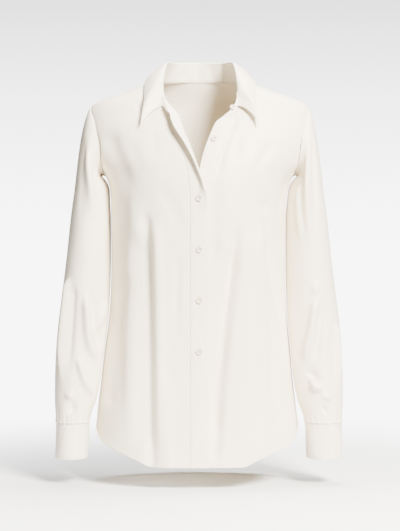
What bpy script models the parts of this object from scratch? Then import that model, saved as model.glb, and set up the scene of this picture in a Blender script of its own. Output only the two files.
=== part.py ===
"""A long-sleeved button-up shirt with a turned-down collar, worn open at the neck.

Metres, +Z up. The front faces -Y and the wearer's right side is at -X. The origin is
in the middle of the neck, level with the top of the shoulder seams. Every piece of
cloth is a thin closed wall. The fronts and the back lie on one form, a stack of
rounded sections, and the sleeves, the collar and the bands start from their edges.
"""
import math

import bmesh
import bpy
from mathutils import Vector

# ---- cloth ------------------------------------------------------------------------
WALL = 0.0012            # one layer of cloth as a solid wall
BAND_WALL = 0.0010       # plackets, laid on the fronts
COLLAR_WALL = 0.0016     # stand, leaf and cuffs are two layers with interlining
GAP = 0.0003             # between pieces that are sewn together
LAP_STEP = BAND_WALL + WALL + 2 * GAP   # how far the left front lies under the right one

# ---- body -------------------------------------------------------------------------
# One row a section: height, half width, depth in front, depth behind, centre in x.
SECTIONS = (
    # height   half    front   back    centre
    (0.0350, 0.0400, 0.0350, 0.0560, 0.0000),
    (0.0110, 0.0560, 0.0500, 0.0640, 0.0000),
    (0.0066, 0.0680, 0.0540, 0.0660, 0.0000),
    (-0.0036, 0.0990, 0.0610, 0.0710, 0.0000),
    (-0.0108, 0.1224, 0.0660, 0.0750, 0.0000),
    (-0.0180, 0.1404, 0.0700, 0.0790, 0.0000),
    (-0.0252, 0.1620, 0.0735, 0.0825, 0.0000),
    (-0.0324, 0.1800, 0.0765, 0.0855, 0.0000),
    (-0.0410, 0.1945, 0.0800, 0.0885, 0.0000),
    (-0.0600, 0.2035, 0.0880, 0.0940, 0.0000),
    (-0.0830, 0.2050, 0.0985, 0.0995, 0.0000),
    (-0.1100, 0.1990, 0.1095, 0.1040, 0.0000),
    (-0.1460, 0.1840, 0.1215, 0.1080, -0.0005),
    (-0.1660, 0.1690, 0.1260, 0.1085, -0.0010),
    (-0.1910, 0.1595, 0.1290, 0.1075, -0.0017),
    (-0.2270, 0.1565, 0.1295, 0.1040, -0.0030),
    (-0.3170, 0.1560, 0.1250, 0.0980, -0.0030),
    (-0.3710, 0.1565, 0.1235, 0.0985, -0.0035),
    (-0.4250, 0.1602, 0.1235, 0.1020, -0.0036),
    (-0.4790, 0.1665, 0.1240, 0.1070, -0.0045),
    (-0.5330, 0.1720, 0.1245, 0.1110, -0.0055),
    (-0.5870, 0.1785, 0.1250, 0.1140, -0.0055),
    (-0.6170, 0.1810, 0.1250, 0.1155, -0.0050),
    (-0.7000, 0.1850, 0.1250, 0.1180, -0.0050),
)
SQUARENESS = 2.3         # 2 is an ellipse, more is fuller at the corners

# Hem: angle from the centre front in degrees, height.
HEM = (
    (0.0, -0.6745), (22.0, -0.6745), (31.0, -0.6640), (45.0, -0.6510), (60.0, -0.6410),
    (72.0, -0.6290), (82.0, -0.6170), (90.0, -0.6120), (99.0, -0.6180), (115.0, -0.6400),
    (135.0, -0.6640), (155.0, -0.6790), (180.0, -0.6840),
)

# ---- armhole, an upright loop seen from the side ------------------------------------
SHOULDER_TIP_Z = -0.0410
ARMPIT_Z = -0.1660
ARMHOLE_FORWARD = 0.0560
ARMHOLE_BACKWARD = 0.0600


def smooth_table(rows, at, column):
    """Reads one column of a table at a place in its first column, as a smooth curve."""
    keys = [row[0] for row in rows]
    values = [row[column] for row in rows]
    if keys[0] > keys[-1]:
        keys = [-key for key in keys]
        at = -at
    if at <= keys[0]:
        return values[0]
    if at >= keys[-1]:
        return values[-1]
    index = 0
    while at > keys[index + 1]:
        index += 1
    step = keys[index + 1] - keys[index]
    rise = (values[index + 1] - values[index]) / step

    def slope(place):
        """Slope at a key, limited so that the curve never overshoots its table."""
        if place == 0 or place == len(keys) - 1:
            return rise
        before = (values[place] - values[place - 1]) / (keys[place] - keys[place - 1])
        after = (values[place + 1] - values[place]) / (keys[place + 1] - keys[place])
        if before * after <= 0:
            return 0.0
        return 2 * before * after / (before + after)

    u = (at - keys[index]) / step
    start, end = slope(index), slope(index + 1)
    h00 = 2 * u**3 - 3 * u**2 + 1
    h10 = u**3 - 2 * u**2 + u
    h01 = 3 * u**2 - 2 * u**3
    h11 = u**3 - u**2
    return (h00 * values[index] + h10 * step * start
            + h01 * values[index + 1] + h11 * step * end)


def blend(start, end, at):
    """Smooth step from 0 to 1 between two places."""
    u = max(0.0, min(1.0, (at - start) / (end - start)))
    return u * u * (3 - 2 * u)


def power(value, exponent):
    """A power that keeps the sign."""
    return math.copysign(abs(value) ** exponent, value)


# ---- folds of the body: name, side of the body, depth (+ ridge, - trough), half width,
# ---- then three places along the fold, each across (x) and up (z).
BODY_FOLDS = (
    ("right long trough", "front", -0.0075, 0.0085,
     (-0.094, -0.226), (-0.088, -0.400), (-0.084, -0.690)),
    ("right bust drape", "front", -0.0060, 0.0110,
     (-0.132, -0.190), (-0.148, -0.420), (-0.160, -0.560)),
    ("right bust fullness", "front", 0.0050, 0.0200,
     (-0.112, -0.205), (-0.112, -0.400), (-0.110, -0.600)),
    ("left long trough", "front", -0.0060, 0.0080,
     (0.066, -0.250), (0.048, -0.420), (0.026, -0.650)),
    ("left bust drape", "front", -0.0050, 0.0090,
     (0.112, -0.235), (0.122, -0.370), (0.140, -0.600)),
    ("left fullness", "front", 0.0045, 0.0180,
     (0.094, -0.260), (0.088, -0.450), (0.084, -0.650)),
    ("back right trough", "back", -0.0065, 0.0110,
     (-0.070, -0.180), (-0.080, -0.400), (-0.092, -0.670)),
    ("back left trough", "back", -0.0065, 0.0110,
     (0.066, -0.200), (0.078, -0.400), (0.084, -0.670)),
    ("back middle fullness", "back", 0.0050, 0.0250,
     (0.005, -0.220), (0.000, -0.400), (-0.004, -0.670)),
)
FOLD_FADE = 0.045        # a fold runs out over this length at its upper end


def distance_to_path(x, z, path):
    """Distance to a bent line, and how far along it the nearest place lies, 0 to 1."""
    best, along = 1e9, 0.0
    pieces = len(path) - 1
    for index in range(pieces):
        (x0, z0), (x1, z1) = path[index], path[index + 1]
        dx, dz = x1 - x0, z1 - z0
        u = max(0.0, min(1.0, ((x - x0) * dx + (z - z0) * dz) / (dx * dx + dz * dz)))
        off = math.hypot(x - x0 - u * dx, z - z0 - u * dz)
        if off < best:
            best, along = off, (index + u) / pieces
    return best, along


def fold_depth(x, z, face):
    """How far the cloth stands out of the plain form at a place."""
    total = 0.0
    for _name, where, depth, width, first, second, third in BODY_FOLDS:
        if where != face:
            continue
        off, along = distance_to_path(x, z, (first, second, third))
        fade = blend(0.0, FOLD_FADE, (first[1] - third[1]) * along)
        total += depth * fade * math.exp(-(off / width) ** 2)
    return total


def form_point(angle, z):
    """A place on the plain form; the angle runs from the front towards +X."""
    half = smooth_table(SECTIONS, z, 1)
    depth = smooth_table(SECTIONS, z, 2 if math.cos(angle) >= 0 else 3)
    centre = smooth_table(SECTIONS, z, 4)
    exponent = 2 / SQUARENESS
    return Vector((centre + half * power(math.sin(angle), exponent),
                   -depth * power(math.cos(angle), exponent), z))


def form_angle(x, z):
    """The angle on the front of the form that lies at a place across."""
    half = smooth_table(SECTIONS, z, 1)
    centre = smooth_table(SECTIONS, z, 4)
    share = max(-1.0, min(1.0, (x - centre) / half))
    return math.asin(power(share, SQUARENESS / 2))


def normal_of(surface, a, b, step_a, step_b):
    """Outward normal of a surface, from places beside the one asked for."""
    across = surface(a + step_a, b) - surface(a - step_a, b)
    up = surface(a, b + step_b) - surface(a, b - step_b)
    return across.cross(up).normalized()


ANGLE_STEP = 0.01
HEIGHT_STEP = 0.0008


def body_point(angle, z):
    """A place on the cloth of the body: the form with its folds."""
    place = form_point(angle, z)
    face = "front" if math.cos(angle) >= 0 else "back"
    depth = fold_depth(place.x, z, face) * blend(0.0, 0.35, abs(math.cos(angle)))
    if depth:
        place = place + normal_of(form_point, angle, z, ANGLE_STEP, HEIGHT_STEP) * depth
    return place


def hem_height(angle):
    """Height of the hem at an angle round the body."""
    return smooth_table(HEM, math.degrees(math.acos(math.cos(angle))), 1)


def armhole(turn):
    """Angle and height of the armhole: 0 at the tip, +90 deg in front, 180 at the armpit."""
    middle = (SHOULDER_TIP_Z + ARMPIT_Z) / 2
    z = middle + (SHOULDER_TIP_Z - ARMPIT_Z) / 2 * math.cos(turn)
    reach = ARMHOLE_FORWARD if math.sin(turn) >= 0 else ARMHOLE_BACKWARD
    y = reach * abs(math.sin(turn)) * (1 - 0.18 * math.cos(turn))
    column = 2 if math.sin(turn) >= 0 else 3
    depth = smooth_table(SECTIONS, z, column)
    angle = math.acos(min(1.0, (y / depth)) ** (SQUARENESS / 2))
    return (angle if math.sin(turn) >= 0 else math.pi - angle), z


# ---- front edges and neck ------------------------------------------------------------
PLACKET_WIDTH = 0.0290
# Free edge of the left front: height, place across.
LEFT_EDGE = (
    (-0.7200, -0.0130), (-0.2100, -0.0125), (-0.1645, -0.0015), (-0.1370, 0.0050),
    (-0.1015, 0.0172), (-0.0780, 0.0280), (-0.0700, 0.0370),
)
# The right front turns outward above its top button, like a small lapel:
# height, where the turn starts across, turn in degrees, its radius, cloth past the start.
LAPEL = (
    (-0.2300, -0.0070, 0.0, 0.0090, 0.0200),
    (-0.2050, -0.0050, 22.0, 0.0090, 0.0180),
    (-0.1890, -0.0035, 70.0, 0.0080, 0.0145),
    (-0.1645, -0.0087, 120.0, 0.0070, 0.0170),
    (-0.1200, -0.0235, 150.0, 0.0060, 0.0230),
    (-0.0900, -0.0350, 158.0, 0.0055, 0.0290),
    (-0.0660, -0.0430, 160.0, 0.0055, 0.0300),
)
NECK_EDGE_LEFT = (       # share of the way, across, up, from the front to the shoulder
    (0.00, 0.0370, -0.0700), (0.25, 0.0590, -0.0640), (0.50, 0.0700, -0.0450),
    (0.75, 0.0745, -0.0180), (1.00, 0.0800, 0.0030),
)
NECK_EDGE_RIGHT = (
    (0.00, -0.0130, -0.0690), (0.25, -0.0420, -0.0680), (0.50, -0.0670, -0.0480),
    (0.75, -0.0745, -0.0180), (1.00, -0.0800, 0.0030),
)
NECK_BACK_Z = 0.0110     # height of the neck seam at the centre back
PLACKET_COLUMNS = 5
FRONT_COLUMNS = 12
NECK_COLUMNS = 5         # of the front columns, those that end at the neck
ROWS = 26
ARMHOLE_ROWS = 8         # of the rows, those that end at the armhole
SIDE_ROWS = ROWS - ARMHOLE_ROWS
BACK_SHOULDER_COLUMNS = 5
BACK_NECK_COLUMNS = 10


def right_front_point(angle, z):
    """A place on the right front, with its edge turned outward above the top button."""
    start = smooth_table(LAPEL, z, 1)
    plain = body_point(angle, z)
    past = form_point(angle, z).x - start
    if past <= 0 or z < LAPEL[0][0]:
        return plain
    turn = math.radians(smooth_table(LAPEL, z, 2))
    radius = smooth_table(LAPEL, z, 3)
    if turn < 1e-4:
        return plain
    start_angle = form_angle(start, z)
    base = body_point(start_angle, z)
    out = normal_of(body_point, start_angle, z, ANGLE_STEP, HEIGHT_STEP)
    along = (body_point(start_angle + ANGLE_STEP, z) - base).normalized()
    out = (out - along * out.dot(along)).normalized()
    arc = min(past, turn * radius)
    bend = arc / radius
    place = base + along * (radius * math.sin(bend)) + out * (radius * (1 - math.cos(bend)))
    rest = past - arc
    return place + along * (rest * math.cos(turn)) + out * (rest * math.sin(turn))


def left_front_point(angle, z):
    """A place on the left front, which lies under the right one at the closure."""
    place = body_point(angle, z)
    sink = LAP_STEP * blend(0.046, 0.021, place.x) * blend(-0.120, -0.165, z)
    if sink:
        place = place - normal_of(body_point, angle, z, ANGLE_STEP, HEIGHT_STEP) * sink
    return place


def front_edge(side, t):
    """Angle and height of a front's free edge, from the hem (0) to the neck corner (1)."""
    neck = NECK_EDGE_LEFT if side > 0 else NECK_EDGE_RIGHT
    bottom = hem_height(0.0)
    z = bottom + (neck[0][2] - bottom) * t
    if side > 0:
        x = smooth_table(LEFT_EDGE, z, 1)
    else:
        x = smooth_table(LAPEL, z, 1) + smooth_table(LAPEL, z, 4)
        x += (neck[0][1] - x) * blend(-0.080, -0.069, z)
    return form_angle(x, z), z


def neck_edge(side, share):
    """Angle and height on the front neck edge, from the corner (0) to the shoulder (1)."""
    table = NECK_EDGE_LEFT if side > 0 else NECK_EDGE_RIGHT
    z = smooth_table(table, share, 2)
    return form_angle(smooth_table(table, share, 1), z), z


def placket_seam(side, t):
    """Angle and height of the line where a placket ends on its front."""
    angle, z = front_edge(side, t)
    x = form_point(angle, z).x + side * PLACKET_WIDTH
    top_angle, top_z = neck_edge(side, 0.25)
    z = z + (top_z - neck_edge(side, 0)[1]) * blend(0.80, 1.0, t)
    angle = form_angle(x, z)
    return angle + (top_angle - angle) * blend(0.86, 1.0, t), z


def outer_edge(side, t, back=False):
    """Angle and height of the side seam and then the armhole, hem to shoulder seam."""
    split = SIDE_ROWS / ROWS
    if t <= split:
        bottom = hem_height(math.pi / 2)
        return side * math.pi / 2, bottom + (ARMPIT_Z - bottom) * t / split
    share = (t - split) / (1 - split)
    turn = math.pi + (math.pi if back else -math.pi) * share
    angle, z = armhole(turn)
    return side * angle, z


def shoulder_seam(side, share):
    """Angle and height on the shoulder seam, from the neck (0) to the tip (1)."""
    start = NECK_EDGE_LEFT[-1][2]
    return side * math.pi / 2, start + (SHOULDER_TIP_Z - start) * share


NECK_ROOM = 0.0900       # swing of the front's columns beside the neck edge
NECK_SWING = 0.75        # share of the columns that swing
TOP_CROWDING = 1.6       # rows crowd towards the shoulder, where the cloth turns over


def spread_out(angle, z):
    """Across and up for an angle and height."""
    half = smooth_table(SECTIONS, z, 1)
    return half * power(math.sin(angle), 2 / SQUARENESS), z


def wrap_back(x, z, behind):
    """The angle and height that lie at a place given by spread_out."""
    share = min(1.0, abs(x) / smooth_table(SECTIONS, z, 1))
    angle = math.asin(share ** (SQUARENESS / 2))
    if behind:
        angle = math.pi - angle
    return math.copysign(angle, x), z


def patch(left, right, bottom, top, s, t, behind=False, neck_room=0.0):
    """A place inside four edge curves, each given as angle and height.

    The columns below the neck edge swing out by neck_room, because that edge stands
    upright and the cloth lies beside it, not under it.
    """
    edges = [spread_out(*place) for place in
             (bottom(s), top(s), left(t), right(t), bottom(0), bottom(1), top(0), top(1))]
    height = 1 - (1 - t) ** TOP_CROWDING
    result = []
    for axis in (0, 1):
        low, high, here, there, c0, c1, c2, c3 = (edge[axis] for edge in edges)
        ruled = (1 - height) * low + height * high + (1 - s) * here + s * there
        ruled -= (1 - s) * (1 - height) * c0 + s * (1 - height) * c1
        ruled -= (1 - s) * height * c2 + s * height * c3
        result.append(ruled)
    swing = math.sin(math.pi * min(1.0, s / NECK_SWING)) * (1 - t) ** 0.8 * t * t
    return wrap_back(result[0] + neck_room * swing, result[1], behind)


def front_places(side):
    """Angles and heights of a front's grid: rows go up, columns go to the side seam."""
    def seam_bottom(s):
        first, last = front_edge(side, 0)[0], placket_seam(side, 0)[0]
        angle = first + (last - first) * s
        return angle, hem_height(angle)

    def main_bottom(s):
        first = placket_seam(side, 0)[0]
        angle = first + (side * math.pi / 2 - first) * s
        return angle, hem_height(angle)

    neck_share = NECK_COLUMNS / FRONT_COLUMNS

    def main_top(s):
        if s <= neck_share:
            return neck_edge(side, 0.25 + 0.75 * s / neck_share)
        return shoulder_seam(side, (s - neck_share) / (1 - neck_share))

    grid = []
    for row in range(ROWS + 1):
        t = row / ROWS
        line = [patch(lambda v: front_edge(side, v), lambda v: placket_seam(side, v),
                      seam_bottom, lambda v: neck_edge(side, 0.25 * v),
                      column / PLACKET_COLUMNS, t)
                for column in range(PLACKET_COLUMNS)]
        line += [patch(lambda v: placket_seam(side, v), lambda v: outer_edge(side, v),
                       main_bottom, main_top, column / FRONT_COLUMNS, t,
                      neck_room=side * NECK_ROOM)
                 for column in range(FRONT_COLUMNS + 1)]
        grid.append(line)
    return grid


def back_places():
    """Angles and heights of the back's grid, from the right side seam to the left one."""
    columns = 2 * BACK_SHOULDER_COLUMNS + BACK_NECK_COLUMNS
    neck_start = BACK_SHOULDER_COLUMNS / columns
    corner_z = NECK_EDGE_LEFT[-1][2]

    def bottom(s):
        angle = -math.pi / 2 - math.pi * s
        return angle, hem_height(angle)

    def top(s):
        if s < neck_start:
            return shoulder_seam(-1, 1 - s / neck_start)
        if s > 1 - neck_start:
            return shoulder_seam(1, (s - 1 + neck_start) / neck_start)
        share = (s - neck_start) / (1 - 2 * neck_start)
        angle = -math.pi / 2 - math.pi * share
        return angle, corner_z + (NECK_BACK_Z - corner_z) * math.sin(math.pi * share)

    return [[patch(lambda v: outer_edge(-1, v, True), lambda v: outer_edge(1, v, True),
                   bottom, top, column / columns, row / ROWS, behind=True)
             for column in range(columns + 1)] for row in range(ROWS + 1)]


# ---- sleeves and cuffs ----------------------------------------------------------------
SLEEVE_SHIFT = -0.0020   # the pair hangs this far to the wearer's right
# One row a ring: outer side across and up, inner side across and up, half depth, middle y.
SLEEVE_RINGS = (
    (0.1945, -0.0410, 0.1690, -0.1660, 0.0580, 0.0020),
    (0.2035, -0.0580, 0.1722, -0.1642, 0.0600, 0.0020),
    (0.2085, -0.0830, 0.1745, -0.1645, 0.0605, 0.0020),
    (0.2130, -0.1080, 0.1758, -0.1665, 0.0605, 0.0018),
    (0.2170, -0.1380, 0.1752, -0.1715, 0.0600, 0.0015),
    (0.2205, -0.1680, 0.1715, -0.1820, 0.0595, 0.0010),
    (0.2235, -0.1950, 0.1678, -0.1980, 0.0590, 0.0000),
    (0.2290, -0.2350, 0.1632, -0.2360, 0.0580, -0.0010),
    (0.2358, -0.3000, 0.1605, -0.3000, 0.0560, -0.0035),
    (0.2415, -0.3500, 0.1610, -0.3500, 0.0545, -0.0060),
    (0.2470, -0.3950, 0.1625, -0.3950, 0.0530, -0.0090),
    (0.2520, -0.4400, 0.1665, -0.4400, 0.0515, -0.0130),
    (0.2550, -0.4850, 0.1725, -0.4850, 0.0495, -0.0175),
    (0.2562, -0.5300, 0.1785, -0.5300, 0.0470, -0.0220),
    (0.2560, -0.5650, 0.1845, -0.5640, 0.0440, -0.0255),
    (0.2550, -0.5880, 0.1895, -0.5870, 0.0415, -0.0275),
    (0.2535, -0.6045, 0.1928, -0.6045, 0.0385, -0.0290),
)
SLEEVE_ROWS = (0, 1, 2, 3, 4, 5, 6, 7, 7.6, 8.2, 8.8, 9.4, 10, 10.7, 11.4, 12.1,
               12.8, 13.5, 14.2, 15, 15.5, 16)
# Folds of the sleeves: side, depth, half width, then places round (degrees, 0 outer side,
# 90 front) and up.
SLEEVE_FOLDS = (
    ("right cap trough", -1, -0.0050, 0.0090, (62, -0.075), (70, -0.140), (78, -0.290)),
    ("right forearm trough", -1, -0.0050, 0.0080, (40, -0.340), (44, -0.440), (52, -0.530)),
    ("right elbow tuck", -1, -0.0045, 0.0065, (105, -0.390), (118, -0.470), (140, -0.500)),
    ("right lower tuck", -1, -0.0045, 0.0065, (96, -0.490), (118, -0.530), (140, -0.560)),
    ("right cuff bulge", -1, 0.0040, 0.0120, (86, -0.560), (92, -0.580), (98, -0.585)),
    ("left cap trough", 1, -0.0050, 0.0080, (88, -0.095), (100, -0.160), (92, -0.310)),
    ("left forearm trough", 1, -0.0050, 0.0080, (82, -0.380), (104, -0.450), (128, -0.500)),
    ("left elbow bulge", 1, 0.0050, 0.0120, (104, -0.505), (110, -0.520), (118, -0.525)),
    ("left lower tuck", 1, -0.0050, 0.0060, (106, -0.540), (88, -0.548), (72, -0.556)),
    ("left outer trough", 1, -0.0040, 0.0070, (34, -0.430), (36, -0.480), (38, -0.540)),
    ("right back trough", -1, -0.0050, 0.0100, (268, -0.130), (262, -0.300), (256, -0.420)),
    ("left back trough", 1, -0.0050, 0.0100, (272, -0.130), (264, -0.290), (258, -0.430)),
    ("right back tuck", -1, -0.0045, 0.0070, (250, -0.400), (225, -0.440), (205, -0.470)),
    ("left back tuck", 1, -0.0045, 0.0070, (252, -0.410), (228, -0.450), (205, -0.475)),
)
CUFF_TOP_Z = -0.6052
CUFF_BOTTOM_Z = -0.6680
CUFF_OPENING = 288.0     # degrees round the sleeve at which the slit and the button lie
CUFF_OVERLAP = 26.0


def sleeve_turns():
    """Turns of a sleeve's columns, the same as where the rows of the body end."""
    return [math.pi * column / ARMHOLE_ROWS for column in range(2 * ARMHOLE_ROWS)]


def sleeve_ring(side, turn, row, grow=0.0):
    """A place on the plain sleeve, on a ring counted from the armhole."""
    keyed = [(index,) + ring for index, ring in enumerate(SLEEVE_RINGS)]
    outer_x, outer_z, inner_x, inner_z, half, middle = (
        smooth_table(keyed, row, column) for column in range(1, 7))
    inner_z_place = max(min(inner_z, -0.166), -0.70)
    outer = Vector((side * outer_x + SLEEVE_SHIFT, middle, outer_z))
    inner = Vector((side * inner_x + smooth_table(SECTIONS, inner_z_place, 4), middle, inner_z))
    centre, reach = (outer + inner) / 2, (outer - inner) / 2
    size = 1 + grow / half
    place = centre + reach * (math.cos(turn) * (1 + grow / max(reach.length, 1e-6)))
    return place + Vector((0, -half * size * math.sin(turn), 0))


def sleeve_plain(side, turn, row):
    """The sleeve before its folds; it leaves the armhole and takes its own shape."""
    place = sleeve_ring(side, turn, max(row, 0.0))
    share = blend(0.0, 2.2, row)
    if share >= 1:
        return place
    angle, z = armhole(turn % (2 * math.pi))
    return body_point(side * angle, z).lerp(place, share)


def sleeve_normal(surface, side, turn, row):
    """Outward normal of a sleeve."""
    across = surface(side, turn + 0.02, row) - surface(side, turn - 0.02, row)
    down = surface(side, turn, row + 0.03) - surface(side, turn, max(row - 0.03, 0.0))
    normal = across.cross(down) * -side
    return normal.normalized()


def sleeve_point(side, turn, row):
    """A place on the outside of a sleeve."""
    place = sleeve_plain(side, turn, row)
    degrees = math.degrees(turn) % 360
    total = 0.0
    for _name, where, depth, width, first, second, third in SLEEVE_FOLDS:
        if where != side:
            continue
        path = [(math.radians(d) * 0.050, z) for d, z in (first, second, third)]
        off, along = distance_to_path(math.radians(degrees) * 0.050, place.z, path)
        fade = blend(0.0, 0.35, along) * (1 - 0.6 * blend(0.8, 1.0, along))
        total += depth * fade * math.exp(-(off / width) ** 2)
    total *= blend(2.0, 5.0, row) * (1 - blend(15.0, 16.0, row))
    if total:
        place = place + sleeve_normal(sleeve_plain, side, turn, row) * total
    return place


# ---- collar ---------------------------------------------------------------------------
# Share of the way from a front end (0) to the centre back (1), then a place; x is
# mirrored for the wearer's right. The last row is past the middle, to keep it smooth.
STAND_TOP = (
    (0.000, 0.0644, -0.0860, -0.0480), (0.125, 0.0650, -0.0800, -0.0270),
    (0.250, 0.0640, -0.0660, -0.0040), (0.375, 0.0620, -0.0450, 0.0170),
    (0.500, 0.0580, -0.0120, 0.0335), (0.750, 0.0400, 0.0440, 0.0400),
    (1.000, 0.0000, 0.0620, 0.0425), (1.250, -0.0400, 0.0440, 0.0400),
)
LEAF_EDGE = (
    (0.000, 0.1035, -0.1030, -0.0840), (0.125, 0.1010, -0.0920, -0.0590),
    (0.250, 0.0992, -0.0765, -0.0330), (0.375, 0.0985, -0.0450, -0.0070),
    (0.500, 0.0965, -0.0080, 0.0030), (0.750, 0.0640, 0.0640, 0.0050),
    (1.000, 0.0000, 0.0840, 0.0050), (1.250, -0.0640, 0.0640, 0.0050),
)
LEAF_RISE = 0.0085       # how high the leaf stands over the stand before it turns down
LEAF_SPREAD = 0.0170      # how far it rolls outward there
LEAF_START = 2 * GAP      # over the top edge of the stand
LEAF_CROWDING = 1.5       # rows crowd towards the roll
STAND_ROWS = 2
LEAF_ROWS = 7


def table_place(table, share, side):
    """A place from a collar table."""
    return Vector((side * smooth_table(table, share, 1), smooth_table(table, share, 2),
                   smooth_table(table, share, 3)))


def neck_place(side, share):
    """Place and normal of the cloth at the neck seam, front end (0) to centre back (1)."""
    if share <= 0.5:
        angle, z = neck_edge(side, share * 2)
        surface = left_front_point if side > 0 else right_front_point
    else:
        part = (share - 0.5) * 2
        angle = side * math.pi / 2 * (1 + part)
        z = NECK_EDGE_LEFT[-1][2]
        z += (NECK_BACK_Z - z) * math.sin(math.pi / 2 * part)
        surface = body_point
    return surface(angle, z), normal_of(surface, angle, z, ANGLE_STEP, HEIGHT_STEP)


def collar_stations():
    """Side and share for every station, at the columns of the cloth that ends there."""
    shares = [0.125 * column / PLACKET_COLUMNS for column in range(PLACKET_COLUMNS)]
    shares += [0.125 + 0.375 * column / NECK_COLUMNS for column in range(NECK_COLUMNS)]
    half = BACK_NECK_COLUMNS // 2
    shares += [0.5 + 0.5 * column / half for column in range(half)]
    right = [(-1, share) for share in shares]
    left = [(1, share) for share in reversed(shares + [1.0])]
    return right + left


def grid_normals(grid):
    """Normals of a grid of places from its neighbours."""
    rows, columns = len(grid), len(grid[0])
    result = []
    for row in range(rows):
        line = []
        for column in range(columns):
            up = grid[min(row + 1, rows - 1)][column] - grid[max(row - 1, 0)][column]
            across = (grid[row][min(column + 1, columns - 1)]
                      - grid[row][max(column - 1, 0)])
            line.append(across.cross(up).normalized())
        result.append(line)
    return result


def square_to(way, tangent):
    """The part of a direction that is square to an edge, as a unit vector."""
    tangent = tangent.normalized()
    return (way - tangent * way.dot(tangent)).normalized()


def edge_ways(edge, inner):
    """For each place on an edge, the way out of the cloth, square to the edge."""
    ways = []
    for index, place in enumerate(edge):
        before, after = max(index - 1, 0), min(index + 1, len(edge) - 1)
        ways.append(square_to(place - inner[index], edge[after] - edge[before]))
    return ways


def stand_grid():
    """Inner face of the stand and the way its thickness goes, row by row."""
    stations = collar_stations()
    feet, tops, ways = [], [], []
    for side, share in stations:
        foot, normal = neck_place(side, share)
        feet.append(foot - normal * WALL)
        tops.append(table_place(STAND_TOP, share, side))
        ways.append(normal)
    lifts = edge_ways(feet, [foot * 2 - top for foot, top in zip(feet, tops)])
    feet = [foot + lift * GAP for foot, lift in zip(feet, lifts)]
    points = [[foot.lerp(top, row / STAND_ROWS) for foot, top in zip(feet, tops)]
              for row in range(STAND_ROWS + 1)]
    normals = grid_normals(points)
    offsets = [[way * COLLAR_WALL for way in ways]]
    for line in normals[1:]:
        own = [blend(0.10, 0.30, share) for _side, share in stations]
        offsets.append([(way.lerp(-normal, part)).normalized() * COLLAR_WALL
                        for way, normal, part in zip(ways, line, own)])
    rises = edge_ways(points[-1], points[-2])
    offsets[-1] = [square_to(way, rise) * COLLAR_WALL for way, rise in zip(offsets[-1], rises)]
    return points, offsets


def leaf_grid():
    """Upper face of the leaf and the way its thickness goes, from the roll to the edge."""
    stand_points, stand_offsets = stand_grid()
    rises = edge_ways(stand_points[-1], stand_points[-2])
    points = [[] for _ in range(LEAF_ROWS + 1)]
    for index, (side, share) in enumerate(collar_stations()):
        start = stand_points[-1][index] + rises[index] * LEAF_START
        end = table_place(LEAF_EDGE, share, side)
        spread = Vector((end.x - start.x, end.y - start.y, 0)).normalized()
        ease = 0.70 + 0.30 * blend(0.0, 0.25, share)
        first = start + rises[index] * (LEAF_RISE * ease)
        second = (first + spread * LEAF_SPREAD).lerp(end, 0.12)
        for row in range(LEAF_ROWS + 1):
            u = (row / LEAF_ROWS) ** LEAF_CROWDING
            v = 1 - u
            place = start * v**3 + first * (3 * v * v * u) + second * (3 * v * u * u)
            points[row].append(place + end * u**3)
    normals = grid_normals(points)
    offsets = [list(stand_offsets[-1])]
    offsets += [[n * -COLLAR_WALL for n in line] for line in normals[1:]]
    return points, offsets


# ---- making the solids ------------------------------------------------------------------
def trim_edges(grid, amount, closed=False):
    """Draws the border of a grid in, so that sewn pieces stay a gap apart."""
    rows, columns = len(grid), len(grid[0])
    result = [[place.copy() for place in line] for line in grid]
    for column in range(columns):
        before, after = max(column - 1, 0), min(column + 1, columns - 1)
        if closed:
            before, after = column - 1, (column + 1) % columns
        for row, inner in ((0, 1), (rows - 1, rows - 2)):
            tangent = grid[row][after] - grid[row][before]
            way = square_to(grid[inner][column] - grid[row][column], tangent)
            result[row][column] += way * amount
    if not closed:
        for row in range(rows):
            before, after = max(row - 1, 0), min(row + 1, rows - 1)
            for column, inner in ((0, 1), (columns - 1, columns - 2)):
                tangent = grid[after][column] - grid[before][column]
                way = square_to(grid[row][inner] - grid[row][column], tangent)
                result[row][column] += way * amount
    return result


def wall(name, points, offsets, material, closed=False):
    """Makes one closed wall from a grid of places and the way its thickness goes."""
    rows, columns = len(points), len(points[0])
    mesh_data = bmesh.new()
    near = [[mesh_data.verts.new(place) for place in line] for line in points]
    far = [[mesh_data.verts.new(points[r][c] + offsets[r][c]) for c in range(columns)]
           for r in range(rows)]
    last = columns if closed else columns - 1
    for row in range(rows - 1):
        for column in range(last):
            beside = (column + 1) % columns
            first = (points[row][column] - points[row + 1][beside]).length
            second = (points[row][beside] - points[row + 1][column]).length
            ring = [(row, column), (row, beside), (row + 1, beside), (row + 1, column)]
            if second < first:
                ring = ring[1:] + ring[:1]
            for corner in ((0, 1, 2), (0, 2, 3)):
                places = [ring[index] for index in corner]
                mesh_data.faces.new([near[r][c] for r, c in places])
                mesh_data.faces.new([far[r][c] for r, c in reversed(places)])
    for column in range(last):
        beside = (column + 1) % columns
        mesh_data.faces.new((near[0][beside], near[0][column], far[0][column], far[0][beside]))
        mesh_data.faces.new((near[-1][column], near[-1][beside],
                             far[-1][beside], far[-1][column]))
    if not closed:
        for row in range(rows - 1):
            mesh_data.faces.new((near[row][0], near[row + 1][0],
                                 far[row + 1][0], far[row][0]))
            mesh_data.faces.new((near[row + 1][-1], near[row][-1],
                                 far[row][-1], far[row + 1][-1]))
    bmesh.ops.recalc_face_normals(mesh_data, faces=mesh_data.faces)
    return add_object(name, mesh_data, material)


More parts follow.
